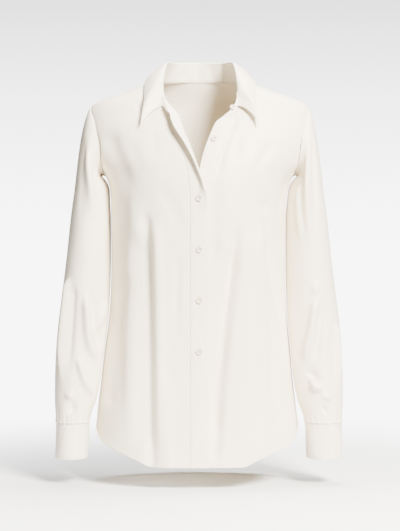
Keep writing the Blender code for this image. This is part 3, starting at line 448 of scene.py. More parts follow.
class PanelLayout(ShirtForm):
    """Where the panels of the body lie on the form, and how their front edges turn."""

    def right_front(self, angle: Array, z: Array) -> Array:
        """Places on the right front, its edge turned outward above the top button."""
        angle, z = np.broadcast_arrays(np.asarray(angle, float), np.asarray(z, float))
        plain = self.body_point(angle, z)
        start = LAPEL.read(z, LAPEL_START)
        past = self.form_point(angle, z)[..., 0] - start
        turn = np.radians(LAPEL_TURN.read(z, 1))
        turned = (past > 0) & (z >= LAPEL_BOTTOM) & (turn >= 1e-4)
        if not np.any(turned):
            return plain
        z, start, past, turn = z[turned], start[turned], past[turned], turn[turned]
        radius = LAPEL.read(z, LAPEL_RADIUS)
        start_angle = self.form_angle(start, z)
        base = self.body_point(start_angle, z)
        along = unit(self.body_point(start_angle + ANGLE_STEP, z) - base)
        out = square_to(self.normal(self.body_point, start_angle, z), along)
        arc = np.minimum(past, turn * radius)
        bend = arc / radius
        rest = past - arc
        ahead = radius * np.sin(bend) + rest * np.cos(turn)
        above = radius * (1 - np.cos(bend)) + rest * np.sin(turn)
        result = plain.copy()
        result[turned] = base + along * ahead[..., None] + out * above[..., None]
        return result

    def left_front(self, angle: Array, z: Array) -> Array:
        """Places on the left front, which lies under the right one at the closure."""
        place = self.body_point(angle, z)
        sink = LAP_STEP * blend(*LAP_ACROSS, place[..., 0]) * blend(*LAP_UP, z)
        return place - self.normal(self.body_point, angle, z) * sink[..., None]

    def front_surface(self, side: Side) -> Surface:
        """The surface that a front lies on."""
        return self.left_front if side is Side.LEFT else self.right_front

    def front_edge(self, side: Side, t: Array) -> Pair:
        """A front's free edge, from the hem (0) to the neck corner (1)."""
        corner_x = NECK_EDGES[side].read(0.0, 1)
        corner_z = NECK_EDGES[side].read(0.0, 2)
        bottom = self.hem_height(0.0)
        z = bottom + (corner_z - bottom) * np.asarray(t)
        if side is Side.LEFT:
            x = LEFT_EDGE.read(z, 1)
        else:
            x = LAPEL.read(z, LAPEL_START) + LAPEL.read(z, LAPEL_CLOTH)
            x = x + (corner_x - x) * blend(-0.080, -0.069, z)
        return self.form_angle(x, z), z

    def neck_edge(self, side: Side, share: Array) -> Pair:
        """The front neck edge, from the corner (0) to the shoulder (1)."""
        z = NECK_EDGES[side].read(share, 2)
        return self.form_angle(NECK_EDGES[side].read(share, 1), z), z

    def placket_seam(self, side: Side, t: Array) -> Pair:
        """The line where a placket ends on its front."""
        angle, z = self.front_edge(side, t)
        x = self.form_point(angle, z)[..., 0] + side.value * PLACKET_WIDTH
        top_angle, top_z = self.neck_edge(side, PLACKET_SHARE)
        z = z + (top_z - NECK_EDGES[side].read(0.0, 2)) * blend(0.80, 1.0, t)
        angle = self.form_angle(x, z)
        return angle + (top_angle - angle) * blend(0.86, 1.0, t), z

    def outer_edge(self, side: Side, t: Array, back: bool = False) -> Pair:
        """The side seam and then the armhole, from the hem to the shoulder seam."""
        t = np.asarray(t, float)
        split = 1 - ARMHOLE_SHARE
        bottom = self.hem_height(pi / 2)
        share = np.clip((t - split) / ARMHOLE_SHARE, 0.0, 1.0)
        turn = pi + (pi if back else -pi) * share
        angle, z = self.armhole(turn)
        seam_z = bottom + (ARMPIT_Z - bottom) * t / split
        return (side.value * np.where(t <= split, pi / 2, angle),
                np.where(t <= split, seam_z, z))

    def shoulder_seam(self, side: Side, share: Array) -> Pair:
        """The shoulder seam, from the neck (0) to the tip (1)."""
        share = np.asarray(share, float)
        z = NECK_CORNER_Z + (SHOULDER_TIP_Z - NECK_CORNER_Z) * share
        return np.full(share.shape, side.value * pi / 2), z

    def spread_out(self, place: Pair) -> Array:
        """Across and up for angles and heights."""
        angle, z = place
        across = SECTIONS.read(z, HALF) * power(np.sin(angle), 2 / SQUARENESS)
        return stack(across, z)

    def wrap_back(self, flat: Array, behind: bool) -> Pair:
        """The angles and heights of places given by spread_out."""
        x, z = flat[..., 0], flat[..., 1]
        share = np.minimum(1.0, np.abs(x) / SECTIONS.read(z, HALF))
        angle = np.arcsin(share ** (SQUARENESS / 2))
        angle = pi - angle if behind else angle
        return np.copysign(angle, x), z

    def patch(self, edges: tuple[Edge, Edge, Edge, Edge], s: Array, t: Array,
              behind: bool = False, neck_room: float = 0.0) -> Pair:
        """Angles and heights of a grid inside four edges.

        Args:
            edges: left, right, bottom and top edge.
            s: shares across, one a column.
            t: shares up, one a row.
            behind: whether the patch lies on the back.
            neck_room: how far the columns swing out beside the neck edge.

        Returns:
            Two arrays, rows by columns.
        """
        left, right, bottom, top = edges
        ends = np.array([0.0, 1.0])
        low, high = (self.spread_out(edge(s))[None] for edge in (bottom, top))
        here, there = (self.spread_out(edge(t))[:, None] for edge in (left, right))
        low_corners, high_corners = (self.spread_out(edge(ends)) for edge in (bottom, top))
        height = (1 - (1 - t) ** TOP_CROWDING)[:, None, None]
        share = s[None, :, None]
        flat = (1 - height) * low + height * high + (1 - share) * here + share * there
        flat = flat - (1 - height) * ((1 - share) * low_corners[0] + share * low_corners[1])
        flat = flat - height * ((1 - share) * high_corners[0] + share * high_corners[1])
        swing = np.sin(pi * np.minimum(1.0, s / NECK_SWING))[None]
        swing = swing * ((1 - t) ** 0.8 * t * t)[:, None]
        flat[..., 0] += neck_room * swing
        return self.wrap_back(flat, behind)

    def line(self, places: Pair) -> Array:
        """Places on the plain form along one row or column of a patch."""
        angle, z = places
        return self.form_point(angle.ravel(), z.ravel())

    def placket_patch(self, side: Side, s: Array, t: Array) -> Pair:
        """The part of a front under its placket."""
        hem = self.hem_line(self.front_edge(side, 0.0)[0], self.placket_seam(side, 0.0)[0])
        edges = (lambda v: self.front_edge(side, v), lambda v: self.placket_seam(side, v),
                 hem, lambda v: self.neck_edge(side, PLACKET_SHARE * v))
        return self.patch(edges, s, t)

    def front_patch(self, side: Side, s: Array, t: Array) -> Pair:
        """The part of a front from its placket to the side seam and the armhole."""
        def top(v: Array) -> Pair:
            share = np.minimum(1.0, v / NECK_SHARE)
            neck = self.neck_edge(side, PLACKET_SHARE + (1 - PLACKET_SHARE) * share)
            past = np.maximum(0.0, (v - NECK_SHARE) / (1 - NECK_SHARE))
            seam = self.shoulder_seam(side, past)
            return tuple(np.where(v <= NECK_SHARE, n, m) for n, m in zip(neck, seam))

        hem = self.hem_line(self.placket_seam(side, 0.0)[0], side.value * pi / 2)
        edges = (lambda v: self.placket_seam(side, v), lambda v: self.outer_edge(side, v),
                 hem, top)
        return self.patch(edges, s, t, neck_room=side.value * NECK_ROOM)

    def back_patch(self, s: Array, t: Array) -> Pair:
        """The back, from the right side seam to the left one."""
        def top(v: Array) -> Pair:
            start = BACK_SHOULDER_SHARE
            right = self.shoulder_seam(Side.RIGHT, np.maximum(0.0, 1 - v / start))
            left = self.shoulder_seam(Side.LEFT, np.maximum(0.0, (v - 1 + start) / start))
            share = np.clip((v - start) / (1 - 2 * start), 0.0, 1.0)
            neck = (-pi / 2 - pi * share,
                    NECK_CORNER_Z + (NECK_BACK_Z - NECK_CORNER_Z) * np.sin(pi * share))
            return tuple(np.where(v < start, r, np.where(v > 1 - start, f, n))
                         for r, f, n in zip(right, left, neck))

        edges = (lambda v: self.outer_edge(Side.RIGHT, v, True),
                 lambda v: self.outer_edge(Side.LEFT, v, True),
                 self.hem_line(-pi / 2, -1.5 * pi), top)
        return self.patch(edges, s, t, behind=True)


# ---- making meshes ----
def place_object(name: str, data: bpy.types.ID, place: Sequence[float] = (0, 0, 0)) -> Object:
    """Puts a new object into the scene."""
    made = bpy.data.objects.new(name, data)
    made.location = place
    bpy.context.scene.collection.objects.link(made)
    return made


def add_mesh(name: str, places: Array, faces: list, material: Material,
             lengths: Array | None = None) -> Object:
    """Puts a smoothly shaded mesh into the scene.

    Args:
        name: the name of the object.
        places: its points, one a row.
        faces: its faces, as indices of points.
        material: its only material.
        lengths: for each point, how far it lies along the cloth both ways, in metres.

    Returns:
        The new object.
    """
    mesh = bpy.data.meshes.new(name)
    mesh.from_pydata(places.tolist(), [], faces)
    mesh.materials.append(material)
    if lengths is not None:
        layer = mesh.uv_layers.new(name="cloth")
        corners = np.empty(len(mesh.loops), dtype=np.int32)
        mesh.loops.foreach_get("vertex_index", corners)
        layer.uv.foreach_set("vector", lengths[corners].astype(np.float32).ravel())
    mesh.shade_smooth()
    mesh.validate()
    piece = place_object(name, mesh)
    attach(piece, ROOT)
    return piece


def run_lengths(grid: Array, axis: int) -> Array:
    """How far each place of a grid lies from the first one, along its row or column."""
    steps = np.linalg.norm(np.diff(grid, axis=axis), axis=-1)
    start = np.zeros_like(np.take(steps, [0], axis=axis))
    return np.concatenate([start, np.cumsum(steps, axis=axis)], axis=axis)


def read_along(run: Array, values: Array, at: Array) -> Array:
    """Values of a line, one row a place, read at lengths along it."""
    return np.stack([np.interp(at, run, column) for column in values.T], axis=1)


def to_edge(across: Array, up: Array, with_foot: bool = True) -> Array:
    """How far each place of a grid lies from its open edges; the first row may be none."""
    sides = np.minimum(across, across[:, -1:] - across)
    ends = np.minimum(up, up[-1:] - up) if with_foot else up[-1:] - up
    return np.minimum(sides, ends)


def nearest(values: Array, aim: float) -> int:
    """The index of the value nearest to an aim."""
    return int(np.argmin(np.abs(values - aim)))


def in_mm(*marks: float) -> tuple[float, ...]:
    """Marks given in millimetres."""
    return tuple(mark * MM for mark in marks)


def both_ends(marks: tuple[float, ...]) -> tuple[float, ...]:
    """Marks for even_shares at both ends of a curve."""
    return marks + tuple(-mark for mark in marks)


def even_shares(curve: Callable[[Array], Array], count: int,
                marks: Sequence[float] = ()) -> Array:
    """Shares from 0 to 1 that lie evenly along a curve.

    Args:
        curve: gives places for shares.
        count: how many steps to make.
        marks: lengths along the curve, in metres from its start, or below 0 from its end,
            that get a share of their own.

    Returns:
        The shares, rising.
    """
    dense = np.linspace(0.0, 1.0, 801)
    run = run_lengths(curve(dense), 0)
    total = float(run[-1])
    even = np.linspace(0.0, total, count + 1)
    extra = np.array([mark if mark >= 0 else total + mark for mark in marks])
    keep = np.ones(len(even), dtype=bool)
    for mark in extra:
        keep &= np.abs(even - mark) > 0.25 * total / count
    keep[0] = keep[-1] = True
    places = np.unique(np.concatenate([even[keep], extra]))
    return np.interp(places, run, dense)


@dataclass
class Shell:
    """A thin closed wall of cloth between an outer and an inner grid of places."""

    name: str
    outer: Array
    inner: Array
    closed: bool = False

    def build(self, material: Material) -> Object:
        """Makes the wall, its open edges rounded over as folded cloth.

        Args:
            material: the cloth.

        Returns:
            The new object, in place of the solid of the same name.
        """
        rows, columns = self.outer.shape[:2]
        count = rows * columns
        index = np.arange(count).reshape(rows, columns)
        if self.closed:
            index = np.concatenate([index, index[:, :1]], axis=1)
        quads = np.stack([index[:-1, :-1], index[:-1, 1:], index[1:, 1:], index[1:, :-1]], -1)
        quads = quads.reshape(-1, 4)
        faces = quads.tolist() + (quads[:, ::-1] + count).tolist()
        places = [self.outer.reshape(-1, 3), self.inner.reshape(-1, 3)]
        lengths = self.lengths()
        flat = [lengths, lengths]
        for loop, inside in self.borders():
            start = sum(len(part) for part in places)
            top, low = self.outer.reshape(-1, 3)[loop], self.inner.reshape(-1, 3)[loop]
            way = top - self.outer.reshape(-1, 3)[inside]
            thickness = np.linalg.norm(top - low, axis=1, keepdims=True)
            middle = (top + low) / 2 + square_to(way, top - low) * thickness * ROUNDING
            places.append(middle)
            flat.append(lengths[loop])
            for here in range(len(loop)):
                there = (here + 1) % len(loop)
                a, b, m, n = int(loop[here]), int(loop[there]), start + here, start + there
                faces.append((b, a, m, n))
                faces.append((n, m, a + count, b + count))
        piece = add_mesh(f"{self.name}_cloth", np.concatenate(places), faces, material,
                         np.concatenate(flat))
        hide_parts(self.name)
        return piece

    def borders(self) -> list[Pair]:
        """The open edges as loops of indices, each with its neighbours one step inside."""
        rows, columns = self.outer.shape[:2]
        index = np.arange(rows * columns).reshape(rows, columns)
        if self.closed:
            return [(index[0], index[1]), (index[-1][::-1], index[-2][::-1])]
        loop = np.concatenate([index[0, :-1], index[:-1, -1], index[-1, :0:-1],
                               index[:0:-1, 0]])
        row, column = np.divmod(loop, columns)
        inside = index[np.clip(row, 1, rows - 2), np.clip(column, 1, columns - 2)]
        return [(loop, inside)]

    def lengths(self) -> Array:
        """How far each place lies along the cloth, across and up, in metres."""
        across = run_lengths(self.outer, 1)
        up = run_lengths(self.outer, 0)
        middle = across.shape[1] // 2
        across = across - across[:, middle:middle + 1]
        return np.stack([across.ravel(), up.ravel()], axis=1)


@dataclass
class ThreadRows:
    """Rows of sewing stitches, all in one mesh."""

    name: str
    pitch: float = 0.0027
    length: float = 0.0021
    radius: float = 0.00020
    sink: float = 0.00004
    sides: int = 5

    def __post_init__(self) -> None:
        """Starts with no stitches."""
        self.places: list[Array] = []
        self.faces: list[Array] = []

    def add_line(self, path: Array, normals: Array) -> None:
        """Sews along a line on the cloth.

        Args:
            path: places on the surface of the cloth.
            normals: outward normals there.
        """
        run = run_lengths(path, 0)
        half = self.length / 2
        count = max(1, int((run[-1] - self.length) / self.pitch))
        start = (run[-1] - (count - 1) * self.pitch - self.length) / 2
        middles = start + half + self.pitch * np.arange(count)
        at, before, after = (read_along(run, path, middles + step) for step in (0.0, -half, half))
        self.add_stitches(at, after - before, unit(read_along(run, normals, middles)))

    def add_stitches(self, at: Array, ways: Array, out: Array) -> None:
        """Adds stitches one by one.

        Args:
            at: middles of the stitches, on the cloth.
            ways: from end to end of each stitch.
            out: outward normals of the cloth.
        """
        beside = unit(np.cross(out, ways))
        turns = 2 * pi * np.arange(self.sides) / self.sides
        rings = []
        for share, size, rise in ((-0.5, 0.35, -0.6), (-0.3, 1.0, 0.3), (0.0, 1.1, 0.5),
                                  (0.3, 1.0, 0.3), (0.5, 0.35, -0.6)):
            centre = at + ways * share + out * (self.radius * rise - self.sink)
            ring = (centre[:, None] + self.radius * size
                    * (beside[:, None] * np.cos(turns)[None, :, None]
                       + out[:, None] * np.sin(turns)[None, :, None]))
            rings.append(ring)
        block = np.stack(rings, axis=1)
        start = sum(len(part) for part in self.places)
        count, levels = block.shape[:2]
        index = start + np.arange(block.size // 3).reshape(count, levels, self.sides)
        beyond = np.roll(index, -1, axis=2)
        quads = np.stack([index[:, :-1], beyond[:, :-1], beyond[:, 1:], index[:, 1:]], -1)
        self.places.append(block.reshape(-1, 3))
        self.faces.extend(quads.reshape(-1, 4).tolist())
        self.faces.extend(index[:, 0, ::-1].tolist())
        self.faces.extend(index[:, -1].tolist())

    def build(self, material: Material, slot: str) -> None:
        """Makes the one mesh of all the stitches.

        Args:
            material: the thread.
            slot: names the cloth that it is sewn into; not used.
        """
        piece = add_mesh(self.name, np.concatenate(self.places), self.faces, material)


# ---- the pieces of the body ----
HEM_MARKS = in_mm(0.7, 1.8, 3, 3.8, 4.3, 4.9, 5.5, 6.2, 7.5, 9.5)
SEAM_MARKS = in_mm(-0.6, -1.4, -2.6, -4.5)
HEM_STITCH = 0.0043      # how far over the hem its stitches run


def ripple(run: Array, seed: float) -> Array:
    """Uneven small waves, from -1 to 1, as cloth drawn up along a row of stitches."""
    return (0.5 * np.sin(run * 2 * pi / 0.0127 + seed)
            + 0.3 * np.sin(run * 2 * pi / 0.0081 + 2.1 * seed + 1.0)
            + 0.2 * np.sin(run * 2 * pi / 0.0223 + 0.7 * seed + 2.0))


@dataclass
class BodyPanel:
    """A panel of the body: its grid, its seams and its turned hem."""

    name: str
    layout: PanelLayout
    surface: Surface
    angles: Array
    heights: Array
    seams: tuple[bool, bool, bool]
    flat: tuple[float, float]
    area: float
    seed: float

    def __post_init__(self) -> None:
        """Works out the places and normals of the cloth before it is finished."""
        self.plain = self.surface(self.angles, self.heights)
        self.normals = self.layout.normal(self.surface, self.angles, self.heights)
        self.across = run_lengths(self.plain, 1)
        self.up = run_lengths(self.plain, 0)

    def seam_sink(self) -> Array:
        """How far the cloth sinks at its sewn edges: first column, last column, top."""
        gaps = (self.across, self.across[:, -1:] - self.across, self.up[-1:] - self.up)
        sink = np.zeros_like(self.up)
        for sewn, gap in zip(self.seams, gaps):
            if sewn:
                pucker = 1 + 0.35 * ripple(self.up + self.across, self.seed)
                sink = sink - SEAM_DITCH * pucker * bell(gap, SEAM_WIDTH)
        return sink

    def hem_rise(self) -> Array:
        """How far the doubled hem stands out, with the dent of its stitches."""
        dent = 0.0003 * bell(self.up - HEM_STITCH, 0.0007)
        flutter = 0.00035 * ripple(self.across, self.seed) * (1 - blend(0.004, 0.022, self.up))
        return self.hem_step() - dent + flutter

    def hem_step(self) -> Array:
        """How much thicker the doubled hem is than the rest."""
        return HEM_STEP * (1 - blend(HEM_DEPTH - 0.0005, HEM_DEPTH + 0.0006, self.up))

    def finished(self) -> Pair:
        """The outer and the inner face of the finished cloth."""
        rise = self.seam_sink() + self.hem_rise()
        outer = self.plain + self.normals * rise[..., None]
        return outer, outer - self.normals * (SHELL + self.hem_step())[..., None]

    def build(self, cloth: Material, threads: ThreadRows) -> None:
        """Makes the panel and sews its hem.

        Args:
            cloth: the material.
            threads: where the stitches go.
        """
        outer, inner = self.finished()
        piece = Shell(self.name, outer, inner).build(cloth)
        row = nearest(np.mean(self.up, axis=1), HEM_STITCH)
        threads.add_line(outer[row], self.normals[row])


BAND_MARKS = in_mm(0.6, 1.4, 2.4, 3, 3.6, 5)
CHEST_SHARE = 0.35       # share up the body where the columns are spaced
PLACKET_STITCH = 0.0030  # from each edge of the band to its stitches
BAND_SHELL = 0.0010


@dataclass
class FrontHalf:
    """One front with the doubled band along its edge."""

    side: Side
    layout: PanelLayout
    cloth: Material
    threads: ThreadRows
    columns: int = 62
    band_columns: int = 16
    rows: int = 150
    flat: tuple[float, float] = (0.300, 0.700)
    area: float = 0.155
    band_flat: tuple[float, float] = (0.0300, 0.640)

    def build(self) -> None:
        """Makes the front and its band."""
        side, layout = self.side, self.layout
        chest = np.array([CHEST_SHARE])
        t = even_shares(lambda v: layout.line(layout.front_patch(side, np.array([0.7]), v)),
                        self.rows, HEM_MARKS + SEAM_MARKS)
        s_band = even_shares(lambda v: layout.line(layout.placket_patch(side, v, chest)),
                             self.band_columns, both_ends(BAND_MARKS))
        s_main = even_shares(lambda v: layout.line(layout.front_patch(side, v, chest)),
                             self.columns, SEAM_MARKS)
        band = layout.placket_patch(side, s_band, t)
        main = layout.front_patch(side, s_main, t)
        angles, heights = (np.concatenate([b[:, :-1], m], axis=1) for b, m in zip(band, main))
        front = BodyPanel(f"front_{side.word}", layout, layout.front_surface(side), angles,
                          heights, (False, True, True), self.flat, self.area, side.value + 2.0)
        front.build(self.cloth, self.threads)
        self.build_band(front, len(s_band))

    def build_band(self, front: BodyPanel, columns: int) -> None:
        """Makes the band on the front's own places.

        Args:
            front: the panel that it lies on.
            columns: how many of its columns the band covers.
        """
        outer, _inner = front.finished()
        base, normals = outer[:, :columns], front.normals[:, :columns]
        across = run_lengths(front.plain[:, :columns], 1)
        width = across[:, -1:]
        edge = np.minimum(across, width - across)
        up = front.up[:, :columns]
        dent = 0.00030 * bell(edge - PLACKET_STITCH, 0.0006)
        wave = 0.00012 * ripple(up, 4.0 + self.side.value) * bell(edge, 0.006)
        pillow = 0.00035 * blend(0.0, 0.0022, edge)
        height = GAP + BAND_SHELL - 0.00030 + pillow - dent + wave
        top = base + normals * height[..., None]
        name = f"placket_{self.side.word}"
        piece = Shell(name, top, base + normals * 0.0001).build(self.cloth)
        mean = np.mean(across, axis=0)
        for place in (PLACKET_STITCH, float(np.mean(width)) - PLACKET_STITCH):
            column = nearest(mean, place)
            self.threads.add_line(top[:, column], normals[:, column])


@dataclass
class BackPanel:
    """The back, one piece from side seam to side seam."""

    layout: PanelLayout
    cloth: Material
    threads: ThreadRows
    columns: int = 110
    rows: int = 150
    flat: tuple[float, float] = (0.500, 0.715)
    area: float = 0.300

    def build(self) -> None:
        """Makes the back."""
        layout = self.layout
        t = even_shares(lambda v: layout.line(layout.back_patch(np.array([0.25]), v)),
                        self.rows, HEM_MARKS + SEAM_MARKS)
        s = even_shares(lambda v: layout.line(layout.back_patch(v, np.array([CHEST_SHARE]))),
                        self.columns, both_ends(SEAM_MARKS))
        angles, heights = layout.back_patch(s, t)
        BodyPanel("back", layout, layout.body_point, angles, heights, (True, True, True),
                  self.flat, self.area, 5.0).build(self.cloth, self.threads)


# ---- sleeves and cuffs ----
SLEEVE_SHIFT = -0.0020
# Ring number; outer side across and up, inner side across and up, half depth, middle y.
SLEEVE_RINGS = SmoothTable((
    (0, 194.5, -41, 169, -166, 58, 2), (1, 203.5, -58, 172.2, -164.2, 60, 2),
    (2, 208.5, -83, 174.5, -164.5, 60.5, 2), (3, 213, -108, 175.8, -166.5, 60.5, 1.8),
    (4, 217, -138, 175.2, -171.5, 60, 1.5), (5, 220.5, -168, 171.5, -182, 59.5, 1),
    (6, 223.5, -195, 167.8, -198, 59, 0), (7, 229, -235, 163.2, -236, 58, -1),
    (8, 235.8, -300, 160.5, -300, 56, -3.5), (9, 241.5, -350, 161, -350, 54.5, -6),
    (10, 247, -395, 162.5, -395, 53, -9), (11, 252, -440, 166.5, -440, 51.5, -13),
    (12, 255, -485, 172.5, -485, 49.5, -17.5), (13, 256.2, -530, 178.5, -530, 47, -22),
    (14, 256, -565, 184.5, -564, 44, -25.5), (15, 255, -588, 189.5, -587, 41.5, -27.5),
    (16, 253.5, -604.5, 192.8, -604.5, 38.5, -29),
))
LAST_RING = 16
CAP_RINGS = 2.2          # rings over which the sleeve leaves the armhole's own shape
LEAN_AT = 152            # degrees round, where the front edge of the inner side leans most
LEAN_WIDTH = 20
# Height, how far the inner side of the cloth hangs against the body, and its front edge.
SLEEVE_LEAN = SmoothTable((
    (-700, 0, 0), (-605, 0, 0), (-587, 2, 0.6), (-564, 4.8, 2.4), (-530, 5, 4), (-485, 4, 4.4),
    (-440, 3, 4.2), (-395, 2.8, 3.2), (-350, 3, 1.8), (-300, 2.9, 1.4), (-260, 4, 1.2),
    (-236, 5.1, 1), (-215, 5.7, 0.8), (-198, 7.1, 0.6), (-190, 7.8, 0.4), (-182, 7.4, 0.2),
    (-173, 4.8, 0), (-165.5, 0, 0), (-100, 0, 0),
), MM)
ROUND = 0.050            # metres of cloth for a radian round the sleeve, in the fold tables
SLEEVE_FADE = 0.022
SLEEVE_TAIL = 0.35
SLIT_TURNS = (2 * pi * 12 / 16, 2 * pi * 13 / 16)
SLIT_RINGS = (13.5, 15.5)


def sleeve_folds(*rows: tuple) -> tuple[Fold, ...]:
    """Folds of a sleeve: name, depth and half width in mm, path in degrees round and mm up."""
    return tuple(Fold(name, depth * MM, width * MM,
                      tuple((radians(degrees) * ROUND, z * MM) for degrees, z in path),
                      SLEEVE_FADE, SLEEVE_TAIL, 4)
                 for name, depth, width, *path in rows)


# Degrees: 0 outer side, 90 front, 180 inner side, 270 back.
SLEEVE_FOLDS = {
    Side.RIGHT: sleeve_folds(
        ("cap trough", -7.5, 9, (76, -68), (86, -120), (99, -190), (112, -262)),
        ("cap crest", 3.4, 8, (114, -80), (120, -130), (128, -180)),
        ("upper crest", 2.2, 12, (62, -90), (68, -180), (76, -270)),
        ("forearm trough", -8, 8, (44, -345), (44, -440), (52, -545)),
        ("forearm crest", 4.5, 8, (64, -360), (70, -440), (74, -530)),
        ("elbow tuck", -10.9, 6.2, (96, -375), (112, -455), (142, -500)),
        ("elbow lip", 6, 6.5, (108, -368), (128, -440), (152, -476)),
        ("lower tuck", -9.7, 5.5, (92, -485), (116, -530), (144, -560)),
        ("inner pinch", -5.6, 5, (150, -380), (138, -420), (122, -452)),
        ("cuff bulge", 10.5, 11.5, (86, -556), (92, -578), (98, -588)),
        ("cuff dent", -7, 5.5, (66, -545), (78, -556), (96, -552)),
        ("back trough", -7.8, 9.5, (268, -130), (262, -300), (256, -420)),
        ("back crest", 4.2, 9, (238, -150), (236, -280), (232, -380)),
        ("back tuck", -7, 6.5, (252, -400), (226, -440), (205, -470)),
        ("back low tuck", -5.9, 6, (262, -480), (242, -520), (214, -545)),
        ("back outer dent", -4.2, 8, (312, -300), (318, -380), (314, -470)),
    ),
    Side.LEFT: sleeve_folds(
        ("cap trough", -10.5, 7.8, (88, -85), (100, -160), (92, -310)),
        ("cap crest", 5.3, 8, (66, -85), (70, -160), (72, -260)),
        ("inner dent", -4.2, 7, (128, -180), (122, -230), (112, -300)),
        ("front dimple", -5.6, 6.5, (84, -350), (86, -366), (92, -385)),
        ("forearm trough", -10.9, 7, (84, -378), (106, -450), (130, -500)),
        ("forearm lip", 6.3, 6.5, (70, -385), (90, -462), (108, -500)),
        ("elbow bulge", 11.4, 11.5, (104, -500), (110, -520), (118, -528)),
        ("bulge crease", -11.4, 4.8, (118, -512), (104, -540), (84, -544)),
        ("cuff bulge", 9.6, 10, (80, -566), (86, -578), (94, -584)),
        ("cuff crease", -7.7, 4.8, (100, -552), (84, -557), (66, -562)),
        ("outer trough", -6.2, 6.5, (34, -425), (36, -480), (38, -550)),
        ("outer crest", 3.6, 7.5, (54, -440), (56, -490), (58, -540)),
        ("back trough", -7.8, 9.5, (272, -130), (264, -290), (258, -430)),
        ("back crest", 4.5, 8.5, (300, -140), (298, -260), (292, -400)),
        ("back tuck", -7, 6.5, (254, -410), (230, -450), (205, -475)),
        ("back low tuck", -5.6, 5.8, (266, -490), (244, -530), (220, -552)),
        ("back outer dent", -4.2, 8.5, (318, -260), (312, -340), (318, -440)),
    ),
}
# Gathers over the cuff seam: degrees round, depth in mm, half width in degrees, length up
# in mm.
GATHERS = (
    (8, 1.6, 4, 30), (24, 1.1, 3.4, 22), (41, 2, 4.2, 45), (57, 1.3, 3.6, 26), (72, 2.2, 4.4, 36),
    (88, 1.2, 3.4, 20), (103, 1.9, 4, 40), (121, 1.4, 3.8, 24), (140, 1.8, 4.2, 34),
    (163, 1.2, 3.8, 22), (186, 1.7, 4.2, 32), (210, 1.3, 3.8, 26), (233, 2, 4.2, 38),
    (252, 1.2, 3.4, 22), (312, 1.8, 4, 36), (330, 1.2, 3.6, 24), (347, 1.9, 4.2, 34),
)


